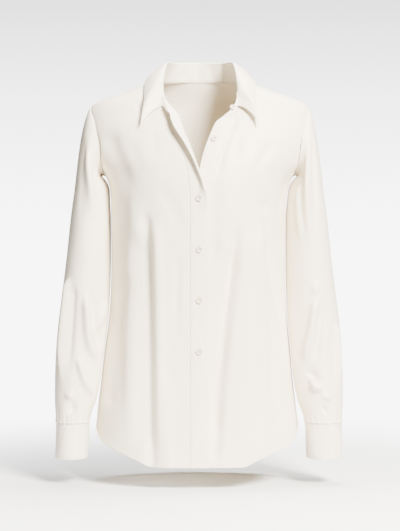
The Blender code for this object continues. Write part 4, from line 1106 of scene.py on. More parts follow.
@dataclass
class Sleeves:
    """Both sleeves, with their cuffs and the bound slits above these."""

    layout: PanelLayout
    cloth: Material
    thread: Material
    rows: int = 190
    columns: int = 128
    flat: tuple[float, float] = (0.360, 0.565)
    area: float = 0.158

    def ring(self, side: Side, turn: Array, row: Array, grow: Array | float = 0.0) -> Array:
        """Places on the plain sleeve, on rings counted from the armhole."""
        outer_x, outer_z, inner_x, inner_z, half, middle = (
            SLEEVE_RINGS.read(row, column) for column in range(1, 7))
        shift = SECTIONS.read(np.clip(inner_z, -0.70, -0.166), CENTRE)
        outer = stack(side.value * outer_x + SLEEVE_SHIFT, middle, outer_z)
        inner = stack(side.value * inner_x + shift, middle, inner_z)
        centre, reach = (outer + inner) / 2, (outer - inner) / 2
        length = np.linalg.norm(reach, axis=-1)
        place = centre + reach * (np.cos(turn) * (1 + grow / length))[..., None]
        back = -half * (1 + grow / half) * np.sin(turn)
        return place + stack(0.0 * back, back, 0.0 * back)

    def plain(self, side: Side, turn: Array, row: Array) -> Array:
        """The sleeve before its folds; it leaves the armhole and takes its own shape."""
        turn, row = np.broadcast_arrays(np.asarray(turn, float), np.asarray(row, float))
        place = self.ring(side, turn, np.maximum(row, 0.0))
        share = blend(0.0, CAP_RINGS, row)[..., None]
        angle, z = self.layout.armhole(turn % (2 * pi))
        start = self.layout.body_point(side.value * angle, z)
        place = start + (place - start) * share
        side_lean, front_lean = (SLEEVE_LEAN.read(place[..., 2], column) for column in (1, 2))
        lean = (side_lean * np.clip(-np.cos(turn), 0.0, 1.0) ** 2
                + front_lean * bell(np.degrees(turn) % 360 - LEAN_AT, LEAN_WIDTH))
        return place - stack(side.value * lean, 0.0 * lean, 0.0 * lean)

    def gathers(self, turn: Array, z: Array) -> Array:
        """How far the cloth stands out where it is gathered into the cuff."""
        degrees = np.degrees(turn) % 360
        up = z - CUFF_TOP_Z
        total = np.zeros(np.broadcast(degrees, up).shape)
        for place, depth, width, length in GATHERS:
            gap = (degrees - place + 180) % 360 - 180
            climb = up / (length * MM)
            spread = width * (1 + 0.8 * climb)
            total += depth * MM * bell(gap, spread) * (1 - blend(0.1, 1.0, climb))
        return total - 0.0008 * (1 - blend(0.0, 0.018, up))

    def relief(self, side: Side, turn: Array, row: Array, z: Array) -> Array:
        """How far the cloth stands out of the plain sleeve."""
        across = (turn % (2 * pi)) * ROUND
        total = sum(fold.relief(across, z) for fold in SLEEVE_FOLDS[side])
        total = total * blend(1.2, 4.5, row) * (1 - blend(15.0, 16.0, row))
        sunk = blend(15.75, 16.0, row) * 0.0010
        seam = SEAM_DITCH * bell(row, 0.16)
        return total + self.gathers(turn, z) * blend(13.0, 15.0, row) - sunk - seam

    def normal(self, side: Side, turn: Array, row: Array, folded: bool = False) -> Array:
        """Outward normals of the sleeve, with its folds or without."""
        surface = self.point if folded else self.plain
        across = surface(side, turn + 0.02, row) - surface(side, turn - 0.02, row)
        down = surface(side, turn, row + 0.03) - surface(side, turn, np.maximum(row - 0.03, 0.0))
        return unit(np.cross(across, down) * -side.value)

    def point(self, side: Side, turn: Array, row: Array) -> Array:
        """Places on the outside of the sleeve."""
        turn, row = np.broadcast_arrays(np.asarray(turn, float), np.asarray(row, float))
        place = self.plain(side, turn, row)
        depth = self.relief(side, turn, row, place[..., 2])
        return place + self.normal(side, turn, row) * depth[..., None]

    def build(self) -> None:
        """Makes both sleeves and what belongs to them."""
        for side in Side:
            threads = ThreadRows(f"stitches_sleeve_{side.word}")
            self.build_sleeve(side)
            Cuff(self, side).build(threads)
            self.build_placket(side, threads)
            threads.build(self.thread, f"cuff_{side.word}")

    def build_sleeve(self, side: Side) -> None:
        """Makes a sleeve from the armhole to the cuff.

        Args:
            side: which one.
        """
        rows = even_shares(lambda v: self.plain(side, np.array([0.4]), v * LAST_RING),
                           self.rows, (0.0008, 0.0018, 0.0035, -0.0006, -0.0014, -0.0024))
        rows = rows[:, None] * LAST_RING
        turns = 2 * pi * np.arange(self.columns)[None, :] / self.columns
        turns = turns if side is Side.RIGHT else turns[:, ::-1]
        outer = self.point(side, turns, rows)[::-1]
        normals = self.normal(side, np.broadcast_to(turns, (len(rows), self.columns)),
                              rows, folded=True)[::-1]
        name = f"sleeve_{side.word}"
        piece = Shell(name, outer, outer - normals * SHELL, closed=True).build(self.cloth)

    def build_placket(self, side: Side, threads: ThreadRows) -> None:
        """Makes the strip that binds the slit above a cuff.

        Args:
            side: which sleeve.
            threads: where the stitches go.
        """
        turns = np.linspace(*SLIT_TURNS, 15)[None, :]
        turns = turns if side is Side.RIGHT else turns[:, ::-1]
        rows = np.linspace(*SLIT_RINGS, 46)[:, None]
        points = self.point(side, turns, rows)[::-1]
        normals = self.normal(side, np.broadcast_to(turns, (46, 15)), rows, True)[::-1]
        across, up = run_lengths(points, 1), run_lengths(points, 0)
        edge = to_edge(across, up)
        height = GAP + 0.0004 + 0.0004 * blend(0.0, 0.0018, edge)
        top = points + normals * height[..., None]
        name = f"sleeve_placket_{side.word}"
        piece = Shell(name, top, points + normals * 0.0002).build(self.cloth)
        for column in (2, -3):
            threads.add_line(top[2:-2, column], normals[2:-2, column])
        threads.add_line(top[-4, 2:-2], normals[-4, 2:-2])


CUFF_TOP_Z = -0.6052
CUFF_BOTTOM_Z = -0.6680
CUFF_OPENING = 288.0
CUFF_OVERLAP = 26.0
CUFF_RAMP = 24.0         # degrees over which the outer end climbs onto the inner one
CUFF_STITCH = 0.0030


@dataclass
class Cuff:
    """A cuff: a straight band of two layers whose ends lap and button."""

    sleeves: Sleeves
    side: Side
    columns: int = 150
    rows: int = 26
    flat: tuple[float, float] = (0.245, 0.0628)

    def place(self, turn: Array, share: Array, lift: Array | float) -> Array:
        """Places on the cuff, from its top (0) to its edge (1)."""
        place = self.sleeves.ring(self.side, turn, np.full(np.shape(turn), float(LAST_RING)),
                                  0.0006 + lift)
        place[..., 2] = CUFF_TOP_Z + (CUFF_BOTTOM_Z - CUFF_TOP_Z) * share
        place[..., 0] += self.side.value * 0.0020 * share
        return place

    def build(self, threads: ThreadRows) -> None:
        """Makes the cuff and its rows of stitches.

        Args:
            threads: where the stitches go.
        """
        start = radians(CUFF_OPENING - 360 - CUFF_OVERLAP / 2)
        length = 2 * pi + radians(CUFF_OVERLAP)
        marks = both_ends(BAND_MARKS)
        s = even_shares(lambda v: self.place(start + length * v, 0.0 * v, 0.0),
                        self.columns, marks)
        t = even_shares(lambda v: self.place(0.0 * v, v, 0.0), self.rows, marks)
        turn = np.broadcast_to(start + length * s[None, :], (len(t), len(s)))
        share = np.broadcast_to(t[:, None], turn.shape)
        past = turn - (start + length - radians(CUFF_OVERLAP + CUFF_RAMP))
        lift = (COLLAR_WALL + GAP) * blend(0.0, radians(22), past)
        base = self.place(turn, share, lift)
        normals = unit(self.place(turn, share, lift + 0.001) - base)
        across, down = run_lengths(base, 1), run_lengths(base, 0)
        edge = to_edge(across, down)
        dent = 0.00035 * bell(edge - CUFF_STITCH, 0.0006)
        wave = 0.00025 * ripple(across + 0.3 * down, 3.0 + self.side.value)
        sag = 0.0009 * np.sin(across * 2 * pi / 0.071 + self.side.value) * np.sin(
            pi * share)
        lap = blend(0.0, radians(30), past)
        height = 0.0005 * (blend(0.0, 0.0020, edge) - 1) - dent + wave + sag * (1 - lap)
        outer = base + normals * height[..., None]
        inner = base + normals * (np.minimum(height, 0.0) - COLLAR_WALL + 0.0002)[..., None]
        if self.side is Side.LEFT:
            outer, inner, normals = outer[::-1], inner[::-1], normals[::-1]
        name = f"cuff_{self.side.word}"
        piece = Shell(name, outer, inner).build(self.sleeves.cloth)
        self.sew(outer, normals, edge if self.side is Side.RIGHT else edge[::-1], threads)

    def sew(self, outer: Array, normals: Array, edge: Array, threads: ThreadRows) -> None:
        """Sews round the cuff, a little inside its edge.

        Args:
            outer: the outer face.
            normals: its normals.
            edge: how far each place lies from the edge.
            threads: where the stitches go.
        """
        middle, centre = outer.shape[0] // 2, outer.shape[1] // 2
        rows = (nearest(edge[:middle, centre], CUFF_STITCH),
                middle + nearest(edge[middle:, centre], CUFF_STITCH))
        columns = (nearest(edge[middle, :20], CUFF_STITCH),
                   outer.shape[1] - 20 + nearest(edge[middle, -20:], CUFF_STITCH))
        for row in rows:
            line = slice(columns[0], columns[1] + 1)
            threads.add_line(outer[row, line], normals[row, line])
        for column in columns:
            line = slice(rows[0], rows[1] + 1)
            threads.add_line(outer[line, column], normals[line, column])


# ---- collar ----
# Share of the way from a front end (0) to the centre back (1), then a place; x is mirrored
# for the wearer's right. The last row is past the middle, to keep it smooth.
STAND_TOP = SmoothTable((
    (0, 64.4, -86, -48), (0.125, 65, -80, -27), (0.25, 64, -66, -4), (0.375, 62, -45, 17),
    (0.5, 58, -12, 33.5), (0.75, 40, 44, 40), (1, 0, 62, 42.5), (1.25, -40, 44, 40),
))
LEAF_EDGE = SmoothTable((
    (0, 103.5, -103, -84), (0.125, 101, -92, -59), (0.25, 99.2, -76.5, -33),
    (0.375, 98.5, -45, -7), (0.5, 96.5, -8, 3), (0.75, 64, 64, 5), (1, 0, 84, 5),
    (1.25, -64, 64, 5),
))
LEAF_RISE = 0.0085
LEAF_SPREAD = 0.0170
LEAF_START = 2 * GAP
LEAF_CROWDING = 1.5
LEAF_STITCH = 0.0050
STAND_STITCH = 0.0020
LEAF_MARKS = in_mm(0.6, 1.4, 2.6, 3.8, 4.4, 5, 5.6, 6.4, 8)
# Drag lines of the stand at the back, in mm: place across, depth, half width.
STAND_DRAGS = ((-31, 1.1, 3.5), (-17, -1, 4), (-4, 1.2, 3), (9, -0.9, 3.6), (21, 1, 3.4),
               (34, -1, 4))
# Soft waves of the leaf: share of the way round from the right end, depth in mm, half width.
LEAF_WAVES = ((0.1, -0.8, 0.03), (0.22, 1.2, 0.045), (0.38, -1, 0.04), (0.52, 1, 0.05),
              (0.66, -0.9, 0.04), (0.81, 1.2, 0.04), (0.92, -0.7, 0.03))


@dataclass
class Collar:
    """The stand and the leaf that turns down over it."""

    layout: PanelLayout
    cloth: Material
    thread: Material
    stations: int = 84
    stand_rows: int = 20
    leaf_rows: int = 52
    stand_flat: tuple[float, float] = (0.415, 0.034)
    leaf_flat: tuple[float, float] = (0.500, 0.070)
    leaf_area: float = 0.0257

    def __post_init__(self) -> None:
        """Works out the stations along the collar, from the right end to the left one."""
        share = even_shares(lambda v: self.table_place(LEAF_EDGE, v, np.ones_like(v)),
                            self.stations, LEAF_MARKS)
        self.share = np.concatenate([share, share[-2::-1]])
        self.side = np.where(np.arange(len(self.share)) < len(share), -1.0, 1.0)

    def table_place(self, table: SmoothTable, share: Array, side: Array) -> Array:
        """Places from a collar table."""
        return stack(side * table.read(share, 1), table.read(share, 2), table.read(share, 3))

    def neck_place(self) -> Pair:
        """Places and normals of the cloth at the neck seam, one for each station."""
        places = np.zeros((len(self.share), 3))
        normals = np.zeros_like(places)
        front = self.share <= 0.5
        for side in Side:
            where = front & (self.side == side.value)
            angle, z = self.layout.neck_edge(side, self.share[where] * 2)
            surface = self.layout.front_surface(side)
            places[where] = surface(angle, z)
            normals[where] = self.layout.normal(surface, angle, z)
        part = (self.share[~front] - 0.5) * 2
        angle = self.side[~front] * pi / 2 * (1 + part)
        z = NECK_CORNER_Z + (NECK_BACK_Z - NECK_CORNER_Z) * np.sin(pi / 2 * part)
        places[~front] = self.layout.body_point(angle, z)
        normals[~front] = self.layout.normal(self.layout.body_point, angle, z)
        return places, normals

    def edge_ways(self, edge: Array, inner: Array) -> Array:
        """For each place on an edge, the way out of the cloth, square to the edge."""
        return square_to(edge - inner, np.gradient(edge, axis=0))

    def stand_grid(self) -> Pair:
        """The inner face of the stand, row by row, and the way its thickness goes."""
        foot, normal = self.neck_place()
        feet = foot - normal * WALL
        tops = self.table_place(STAND_TOP, self.share, self.side)
        feet = feet + square_to(tops - feet, np.gradient(feet, axis=0)) * GAP
        rise = np.linspace(0.0, 1.0, self.stand_rows + 1)[:, None, None]
        points = feet[None] * (1 - rise) + tops[None] * rise
        normals = grid_normals(points)
        own = blend(0.10, 0.30, self.share)[None, :, None] * blend(0.0, 0.5, rise)
        ways = unit(normal[None] * (1 - own) - normals * own)
        rises = self.edge_ways(points[-1], points[-2])
        ways[-1] = square_to(ways[-1], rises)
        return points, ways

    def leaf_grid(self, stand: Array, stand_ways: Array) -> Pair:
        """The upper face of the leaf, from the roll to the edge, and the way to its back.

        Args:
            stand: the inner face of the stand.
            stand_ways: the way its thickness goes.

        Returns:
            Places and unit ways, rows by stations.
        """
        rises = self.edge_ways(stand[-1], stand[-2])
        start = stand[-1] + rises * LEAF_START
        end = self.table_place(LEAF_EDGE, self.share, self.side)
        spread = unit((end - start) * np.array([1.0, 1.0, 0.0]))
        ease = (0.70 + 0.30 * blend(0.0, 0.25, self.share))[:, None]
        first = start + rises * (LEAF_RISE * ease)
        second = first + spread * LEAF_SPREAD
        second = second + (end - second) * 0.12

        def curve(v: Array) -> Array:
            u = (v ** LEAF_CROWDING)[:, None, None]
            w = 1 - u
            return (start * w**3 + first * (3 * w * w * u) + second * (3 * w * u * u)
                    + end * u**3)

        back = len(self.share) // 2
        rows = even_shares(lambda v: curve(v)[:, back], self.leaf_rows,
                           tuple(-mark for mark in LEAF_MARKS))
        points = curve(rows)
        ways = -grid_normals(points)
        near = (1 - blend(0.0, 0.12, rows))[:, None, None]
        return points, unit(ways * (1 - near) + stand_ways[-1][None] * near)

    def build(self) -> None:
        """Makes the stand and the leaf."""
        stand, ways = self.stand_grid()
        self.build_stand(stand, ways)
        self.build_leaf(*self.leaf_grid(stand, ways))

    def build_stand(self, points: Array, ways: Array) -> None:
        """Makes the stand.

        Args:
            points: its inner face.
            ways: the way its thickness goes.
        """
        across, up = run_lengths(points, 1), run_lengths(points, 0)
        edge = to_edge(across, up)
        x, height = points[..., 0], up / up[-1:]
        drag = MM * sum(depth * bell(x / MM - place, width) for place, depth, width in STAND_DRAGS)
        drag = drag * np.sin(pi * height) * blend(0.55, 0.75, self.share)[None]
        low = bell(up - STAND_STITCH, 0.0006) + bell(up[-1:] - up - STAND_STITCH, 0.0006)
        pillow = 0.0003 * (1 - blend(0.0, 0.0020, edge)) + 0.0003 * low
        inner = points + ways * (pillow + drag)[..., None]
        outer = points + ways * (COLLAR_WALL - pillow + drag)[..., None]
        piece = Shell("collar_stand", inner[:, ::-1], outer[:, ::-1]).build(self.cloth)
        threads = ThreadRows("stitches_stand")
        for row in (2, -3):
            threads.add_line(outer[row, 4:-4], ways[row, 4:-4])
            threads.add_line(inner[row, 4:-4], -ways[row, 4:-4])
        threads.build(self.thread, "collar_stand")

    def build_leaf(self, points: Array, ways: Array) -> None:
        """Makes the leaf.

        Args:
            points: its upper face.
            ways: the way to its under side.
        """
        across, down = run_lengths(points, 1), run_lengths(points, 0)
        edge = to_edge(across, down, with_foot=False)
        along = across / across[:, -1:]
        wave = MM * sum(depth * bell(along - place, width) for place, depth, width in LEAF_WAVES)
        wave = wave * blend(0.3, 1.0, down / down[-1:])
        dent = 0.00035 * bell(edge - LEAF_STITCH, 0.0007)
        pillow = 0.0005 * (1 - blend(0.0, 0.0022, edge))
        pucker = 0.00018 * ripple(across, 1.5) * bell(edge - LEAF_STITCH, 0.004)
        sink = pillow + dent + pucker - wave
        outer = points + ways * sink[..., None]
        inner = points + ways * (COLLAR_WALL - pillow - wave)[..., None]
        piece = Shell("collar_leaf", outer, inner).build(self.cloth)
        threads = ThreadRows("stitches_leaf")
        row = nearest(down[-1, 0] - down[:, 0], LEAF_STITCH)
        middle = outer.shape[0] // 2
        left = nearest(across[middle, :30], LEAF_STITCH)
        right = outer.shape[1] - 1 - left
        threads.add_line(outer[row, left:right + 1], -ways[row, left:right + 1])
        for column in (left, right):
            threads.add_line(outer[6:row + 1, column], -ways[6:row + 1, column])
        threads.build(self.thread, "collar_leaf")


# ---- buttons and buttonholes ----
BUTTON_SEAT = 0.0005
FRONT_BUTTON_X = -0.0013
TOP_BUTTON_Z = -0.2110
BUTTON_PITCH = 0.0879
FRONT_BUTTONS = 4
BAND_BUTTON = (0.0240, -0.1080)
STAND_BUTTON_SHARE = 0.6
FULL_RADIUS = 0.00575
STAND_BUTTON_RADIUS = 0.0045
STAND_BUTTON_INSET = 0.0070
STAND_HOLE = 0.0110
HOLE_RADIUS = 0.00092
HOLE_REACH = 0.00130


@dataclass
class ButtonShape:
    """The shape of a round button with a raised rim, a dish and four holes."""

    radius: float = FULL_RADIUS
    sides: int = 44
    hole_sides: int = 12
    under_share: float = 0.86
    rim_height: float = 0.0010
    # Share of the radius, height of the upper side there in mm.
    profile: tuple[tuple[float, float], ...] = (
        (0, 1.25), (0.45, 1.26), (0.58, 1.34), (0.66, 1.70), (0.73, 2.18), (0.80, 2.36),
        (0.88, 2.32), (0.95, 2.04), (1, 1.50))

    def __post_init__(self) -> None:
        """Works out the size and the middles of the four holes."""
        scale = self.radius / FULL_RADIUS
        self.hole_size = HOLE_RADIUS * scale
        corners = np.array([(-1.0, -1.0), (1.0, -1.0), (1.0, 1.0), (-1.0, 1.0)])
        self.holes = HOLE_REACH * scale * corners

    def circle(self, sides: int) -> Array:
        """Points round a circle of radius 1."""
        turns = 2 * pi * np.arange(sides) / sides
        return np.stack([np.cos(turns), np.sin(turns)], axis=1)

    def to_hole(self, points: Array) -> Array:
        """How far points lie from the middle of the nearest hole."""
        return np.linalg.norm(points[:, None] - self.holes[None], axis=2).min(axis=1)

    def flat_layout(self) -> tuple[Array, list, list[Array]]:
        """The upper side seen from above.

        Returns:
            Its points, those of the rim first, its faces, and the points round each hole.
        """
        ring = self.circle(self.sides)
        loose = [share * self.radius * ring for share, _height in self.profile[1:-1]]
        loose = np.concatenate(loose + [0.2 * self.radius * ring[::4], np.zeros((1, 2))])
        loose = loose[self.to_hole(loose) > 1.7 * self.hole_size]
        rings = [centre + scale * self.hole_size * self.circle(self.hole_sides)
                 for centre in self.holes for scale in (1.0, 1.3)]
        starts = self.sides + 2 * self.hole_sides * np.arange(len(self.holes))
        loops = [start + np.arange(self.hole_sides) for start in starts]
        edges = [(int(a), int(b)) for loop in [np.arange(self.sides)] + loops
                 for a, b in zip(loop, np.roll(loop, -1))]
        everything = np.concatenate([self.radius * ring] + rings + [loose])
        found = geometry.delaunay_2d_cdt([Vector(p) for p in everything.tolist()], edges,
                                         [], 0, 1e-9)
        corners = np.array([tuple(p) for p in found[0]])
        middles = np.array([corners[list(face)].mean(axis=0) for face in found[2]])
        gaps = self.to_hole(middles)
        faces = [list(face) for face, gap in zip(found[2], gaps) if gap > self.hole_size * 0.98]
        return corners, faces, loops

    def build(self, name: str, material: Material, place: Array, turn: Array) -> None:
        """Makes the button.

        Args:
            name: its name.
            material: its finish.
            place: the middle of its under side.
            turn: the rotation that makes it face outward.
        """
        flat, faces, loops = self.flat_layout()
        share = np.linalg.norm(flat, axis=1) / self.radius
        top = np.column_stack([flat, SmoothTable(self.profile).read(share, 1)])
        for loop in loops:
            top[loop, 2] -= 0.00012
        low = np.column_stack([flat * self.under_share, np.zeros(len(flat))])
        middle = np.column_stack([flat[:self.sides], np.full(self.sides, self.rim_height)])
        count = len(top)
        faces = faces + [[index + count for index in face[::-1]] for face in faces]
        for here in range(self.sides):
            there = (here + 1) % self.sides
            m, n = 2 * count + here, 2 * count + there
            faces += [[here, m, n, there], [m, here + count, there + count, n]]
        for loop in loops:
            for a, b in zip(loop.tolist(), np.roll(loop, -1).tolist()):
                faces.append([a, b, b + count, a + count])
        piece = add_mesh(f"{name}_turned", np.concatenate([top, low, middle]) @ turn.T + place,
                         faces, material)
        piece.data.set_sharp_from_angle(angle=radians(50))
        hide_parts(name)


@dataclass
class Buttons:
    """Every button of the shirt, the thread that holds it, and the buttonholes."""

    layout: PanelLayout
    sleeves: Sleeves
    collar: Collar
    plastic: Material
    hole_gap: float = 0.00045
    hole_width: float = 0.0011

    def __post_init__(self) -> None:
        """Starts the threads that hold the buttons and those of the buttonholes."""
        self.threads = ThreadRows("button_threads", radius=0.00016)
        self.holes = ThreadRows("buttonholes", radius=0.00023, sink=0.00008)

    def on_body(self, surface: Surface, x: float, z: float) -> Pair:
        """A place on the body and the way that it faces there."""
        angle, height = self.layout.form_angle(x, z), np.array(z)
        return surface(angle, height), self.layout.normal(surface, angle, height)

    def sew_on(self, name: str, place: Array, normal: Array,
               radius: float = FULL_RADIUS) -> None:
        """Makes a button and the thread through its holes.

        Args:
            name: its name.
            place: the middle of its under side.
            normal: the way that it faces.
            radius: its radius.
        """
        shape = ButtonShape(radius)
        turn = np.array(Vector((0, 0, 1)).rotation_difference(Vector(normal)).to_matrix())
        shape.build(name, self.plastic, place, turn)
        for first, second in ((0, 3), (1, 2)):
            for shift in (-0.00014, 0.00014):
                ends = np.array([[*shape.holes[end] + (shift, 0.0), 0.00130]
                                 for end in (first, second)]) @ turn.T + place
                way = (ends[1] - ends[0]) * 1.25
                self.threads.add_stitches(ends.mean(axis=0)[None], way[None], normal[None])

    def buttonhole(self, middle: Array, along: Array, normal: Array,
                   length: float = 0.0140) -> None:
        """Sews a buttonhole.

        Args:
            middle: its middle, on the cloth.
            along: the way that it runs.
            normal: outward normal of the cloth.
            length: how long it is.
        """
        along = square_to(along, normal)
        beside = np.cross(normal, along)
        steps = np.arange(-length / 2, length / 2, self.hole_gap)[:, None]
        side = beside * (self.hole_width / 2 + 0.0001)
        rows = [(middle + along * steps + side * sign, beside * self.hole_width)
                for sign in (-1, 1)]
        steps = np.arange(-0.0011, 0.0012, self.hole_gap)[:, None]
        rows += [(middle + along * (end * length) + beside * steps, along * 0.0014)
                 for end in (-0.5, 0.5)]
        for at, way in rows:
            self.holes.add_stitches(at, np.broadcast_to(way, at.shape),
                                    np.broadcast_to(normal, at.shape))

    def build(self, thread: Material) -> None:
        """Makes the buttons and the buttonholes.

        Args:
            thread: the material of the stitches.
        """
        seat = GAP + BAND_WALL + BUTTON_SEAT
        for index in range(FRONT_BUTTONS):
            z = TOP_BUTTON_Z - BUTTON_PITCH * index
            place, normal = self.on_body(self.layout.right_front, FRONT_BUTTON_X, z)
            self.sew_on(f"button_front_{index + 1}", place + normal * seat, normal)
            self.buttonhole(place + normal * (GAP + BAND_SHELL), np.array([0.0, 0.0, 1.0]),
                            normal)
        place, normal = self.on_body(self.layout.left_front, *BAND_BUTTON)
        self.sew_on("button_band", place + normal * seat, normal)
        self.build_lapel_hole()
        self.build_stand_button()
        self.build_cuff_buttons()
        self.threads.build(thread, "front_right")
        self.holes.build(thread, "front_right")

    def build_lapel_hole(self) -> None:
        """Sews the buttonhole of the turned-out edge, on both of its faces."""
        z = np.array(BAND_BUTTON[1])
        x = LAPEL.read(z, LAPEL_START) + LAPEL.read(z, LAPEL_CLOTH) - PLACKET_WIDTH / 2
        surface = self.layout.right_front
        angle = self.layout.form_angle(x, z)
        place, normal = self.on_body(surface, x, z)
        along = surface(angle, z + 0.004) - surface(angle, z - 0.004)
        self.buttonhole(place - normal * SHELL, along, -normal)
        self.buttonhole(place + normal * (GAP + BAND_SHELL), along, normal)

    def build_stand_button(self) -> None:
        """Makes the small button of the stand and the hole at its other end."""
        points, ways = self.collar.stand_grid()
        run = run_lengths(points[0], 0)
        for gap, is_button in ((run[-1] - run, True), (run, False)):
            column = nearest(gap, STAND_BUTTON_INSET)
            low, high = points[0, column], points[-1, column]
            way = ways[len(ways) // 2, column]
            place = low + (high - low) * STAND_BUTTON_SHARE
            if is_button:
                self.sew_on("button_stand", place + way * (COLLAR_WALL + 2 * BUTTON_SEAT), way,
                            STAND_BUTTON_RADIUS)
            else:
                beside = points[0, column + 6] - points[0, column - 6]
                self.buttonhole(place + way * COLLAR_WALL, beside, way, STAND_HOLE)
                self.buttonhole(place, beside, -way, STAND_HOLE)

    def build_cuff_buttons(self) -> None:
        """Makes the buttons of the cuffs and the holes under them."""
        for side in Side:
            cuff = Cuff(self.sleeves, side)
            turn, share = np.array(radians(CUFF_OPENING)), np.array(0.5)
            base = cuff.place(turn, share, COLLAR_WALL + GAP)
            normal = unit(cuff.place(turn, share, 0.004) - base)
            self.sew_on(f"button_cuff_{side.word}", base + normal * GAP, normal)
            beside = cuff.place(turn + 0.1, share, 0.0) - cuff.place(turn - 0.1, share, 0.0)
            self.buttonhole(base, beside, normal)


# ---- finishes ----
Colour = tuple[float, float, float]


class Wiring:
    """Short calls for the nodes of one tree."""

    def __init__(self, tree: NodeTree) -> None:
        """Keeps the tree."""
        self.tree = tree

    def feed(self, node: bpy.types.Node, feeds: dict) -> None:
        """Feeds a node.

        Args:
            node: the node.
            feeds: for input sockets, by name or number, a socket to link or a value.
        """
        for name, value in feeds.items():
            if isinstance(value, Socket):
                self.tree.links.new(value, node.inputs[name])
            else:
                node.inputs[name].default_value = value

    def node(self, kind: str, feeds: dict | None = None, **settings: object) -> bpy.types.Node:
        """Adds a node.

        Args:
            kind: the node's type.
            feeds: what its inputs get.
            settings: properties of the node.

        Returns:
            The node.
        """
        made = self.tree.nodes.new(kind)
        for name, value in settings.items():
            setattr(made, name, value)
        self.feed(made, feeds or {})
        return made

    def maths(self, operation: str, *values: object) -> Socket:
        """Adds a sum and returns its result."""
        return self.node("ShaderNodeMath", dict(enumerate(values)), operation=operation).outputs[0]

    def mix(self, factor: Socket, first: Colour, second: Colour) -> Socket:
        """Mixes two colours."""
        feeds = {"Factor": factor, 6: (*first, 1.0), 7: (*second, 1.0)}
        return self.node("ShaderNodeMix", feeds, data_type="RGBA").outputs[2]

    def ranged(self, value: Socket, low: float, high: float) -> Socket:
        """Maps a noise's middle range to a range of values."""
        return self.node("ShaderNodeMapRange", {
            "Value": value, "From Min": 0.3, "From Max": 0.7, "To Min": low,
            "To Max": high}).outputs[0]


class GroupWiring(Wiring):
    """Makes one shader node group with named inputs and outputs."""

    def __init__(self, name: str) -> None:
        """Starts an empty group."""
        super().__init__(bpy.data.node_groups.new(name, "ShaderNodeTree"))
        self.source = self.tree.nodes.new("NodeGroupInput")
        self.target = self.tree.nodes.new("NodeGroupOutput")

    def add_input(self, name: str, kind: str, value: float | None = None) -> Socket:
        """Adds an input socket, with its usual value, and returns what comes in."""
        socket = self.tree.interface.new_socket(name, in_out="INPUT", socket_type=kind)
        if value is not None:
            socket.default_value = value
        return self.source.outputs[name]

    def add_output(self, name: str, source: Socket) -> None:
        """Adds an output socket for a number and feeds it."""
        self.tree.interface.new_socket(name, in_out="OUTPUT", socket_type="NodeSocketFloat")
        self.tree.links.new(source, self.target.inputs[name])


class MaterialWiring(Wiring):
    """Makes one material around its Principled shader."""

    def __init__(self, name: str) -> None:
        """Starts the material."""
        self.material = bpy.data.materials.new(name)
        self.material.use_nodes = True
        super().__init__(self.material.node_tree)
        self.place = self.node("ShaderNodeTexCoord").outputs["Object"]

    def finish(self, feeds: dict) -> Material:
        """Feeds the shader and returns the material."""
        self.feed(self.tree.nodes["Principled BSDF"], feeds)
        return self.material


def crepe_grain_group() -> NodeTree:
    """The grain of crepe: fine uneven threads both ways, pebbled by their twist."""
    group = GroupWiring("crepe grain")
    lengths = group.add_input("Lengths", "NodeSocketVector")
    place = group.add_input("Place", "NodeSocketVector")
    thread_scale = group.add_input("Thread Scale", "NodeSocketFloat", 1400.0)
    pebble_scale = group.add_input("Pebble Scale", "NodeSocketFloat", 900.0)
    split = group.node("ShaderNodeSeparateXYZ", {0: lengths})
    across, up = (group.maths("SINE", group.maths("MULTIPLY", split.outputs[axis], thread_scale))
                  for axis in ("X", "Y"))
    weave = group.maths("MULTIPLY", across, up)
    pebble = group.node("ShaderNodeTexNoise", {
        "Vector": place, "Scale": pebble_scale, "Detail": 2.0, "Roughness": 0.6}).outputs["Fac"]
    group.add_output("Height", group.maths("MULTIPLY_ADD", weave, 0.22, pebble))
    group.add_output("Mask", pebble)
    return group.tree


def soft_crumple_group() -> NodeTree:
    """Faint broad dents and drag lines of worn cloth, and slow changes of its tone."""
    group = GroupWiring("soft crumple")
    place = group.add_input("Place", "NodeSocketVector")
    dent_scale = group.add_input("Dent Scale", "NodeSocketFloat", 42.0)
    tone_scale = group.add_input("Tone Scale", "NodeSocketFloat", 9.0)
    squeeze = group.node("ShaderNodeMapping", {"Vector": place, "Scale": (1.0, 1.0, 0.32)})
    dents = group.node("ShaderNodeTexNoise", {
        "Vector": squeeze.outputs[0], "Scale": dent_scale, "Detail": 3.0, "Roughness": 0.45,
        "Distortion": 0.6})
    tone = group.node("ShaderNodeTexNoise", {
        "Vector": place, "Scale": tone_scale, "Detail": 2.0, "Roughness": 0.5})
    group.add_output("Height", dents.outputs["Fac"])
    group.add_output("Tone", tone.outputs["Fac"])
    return group.tree


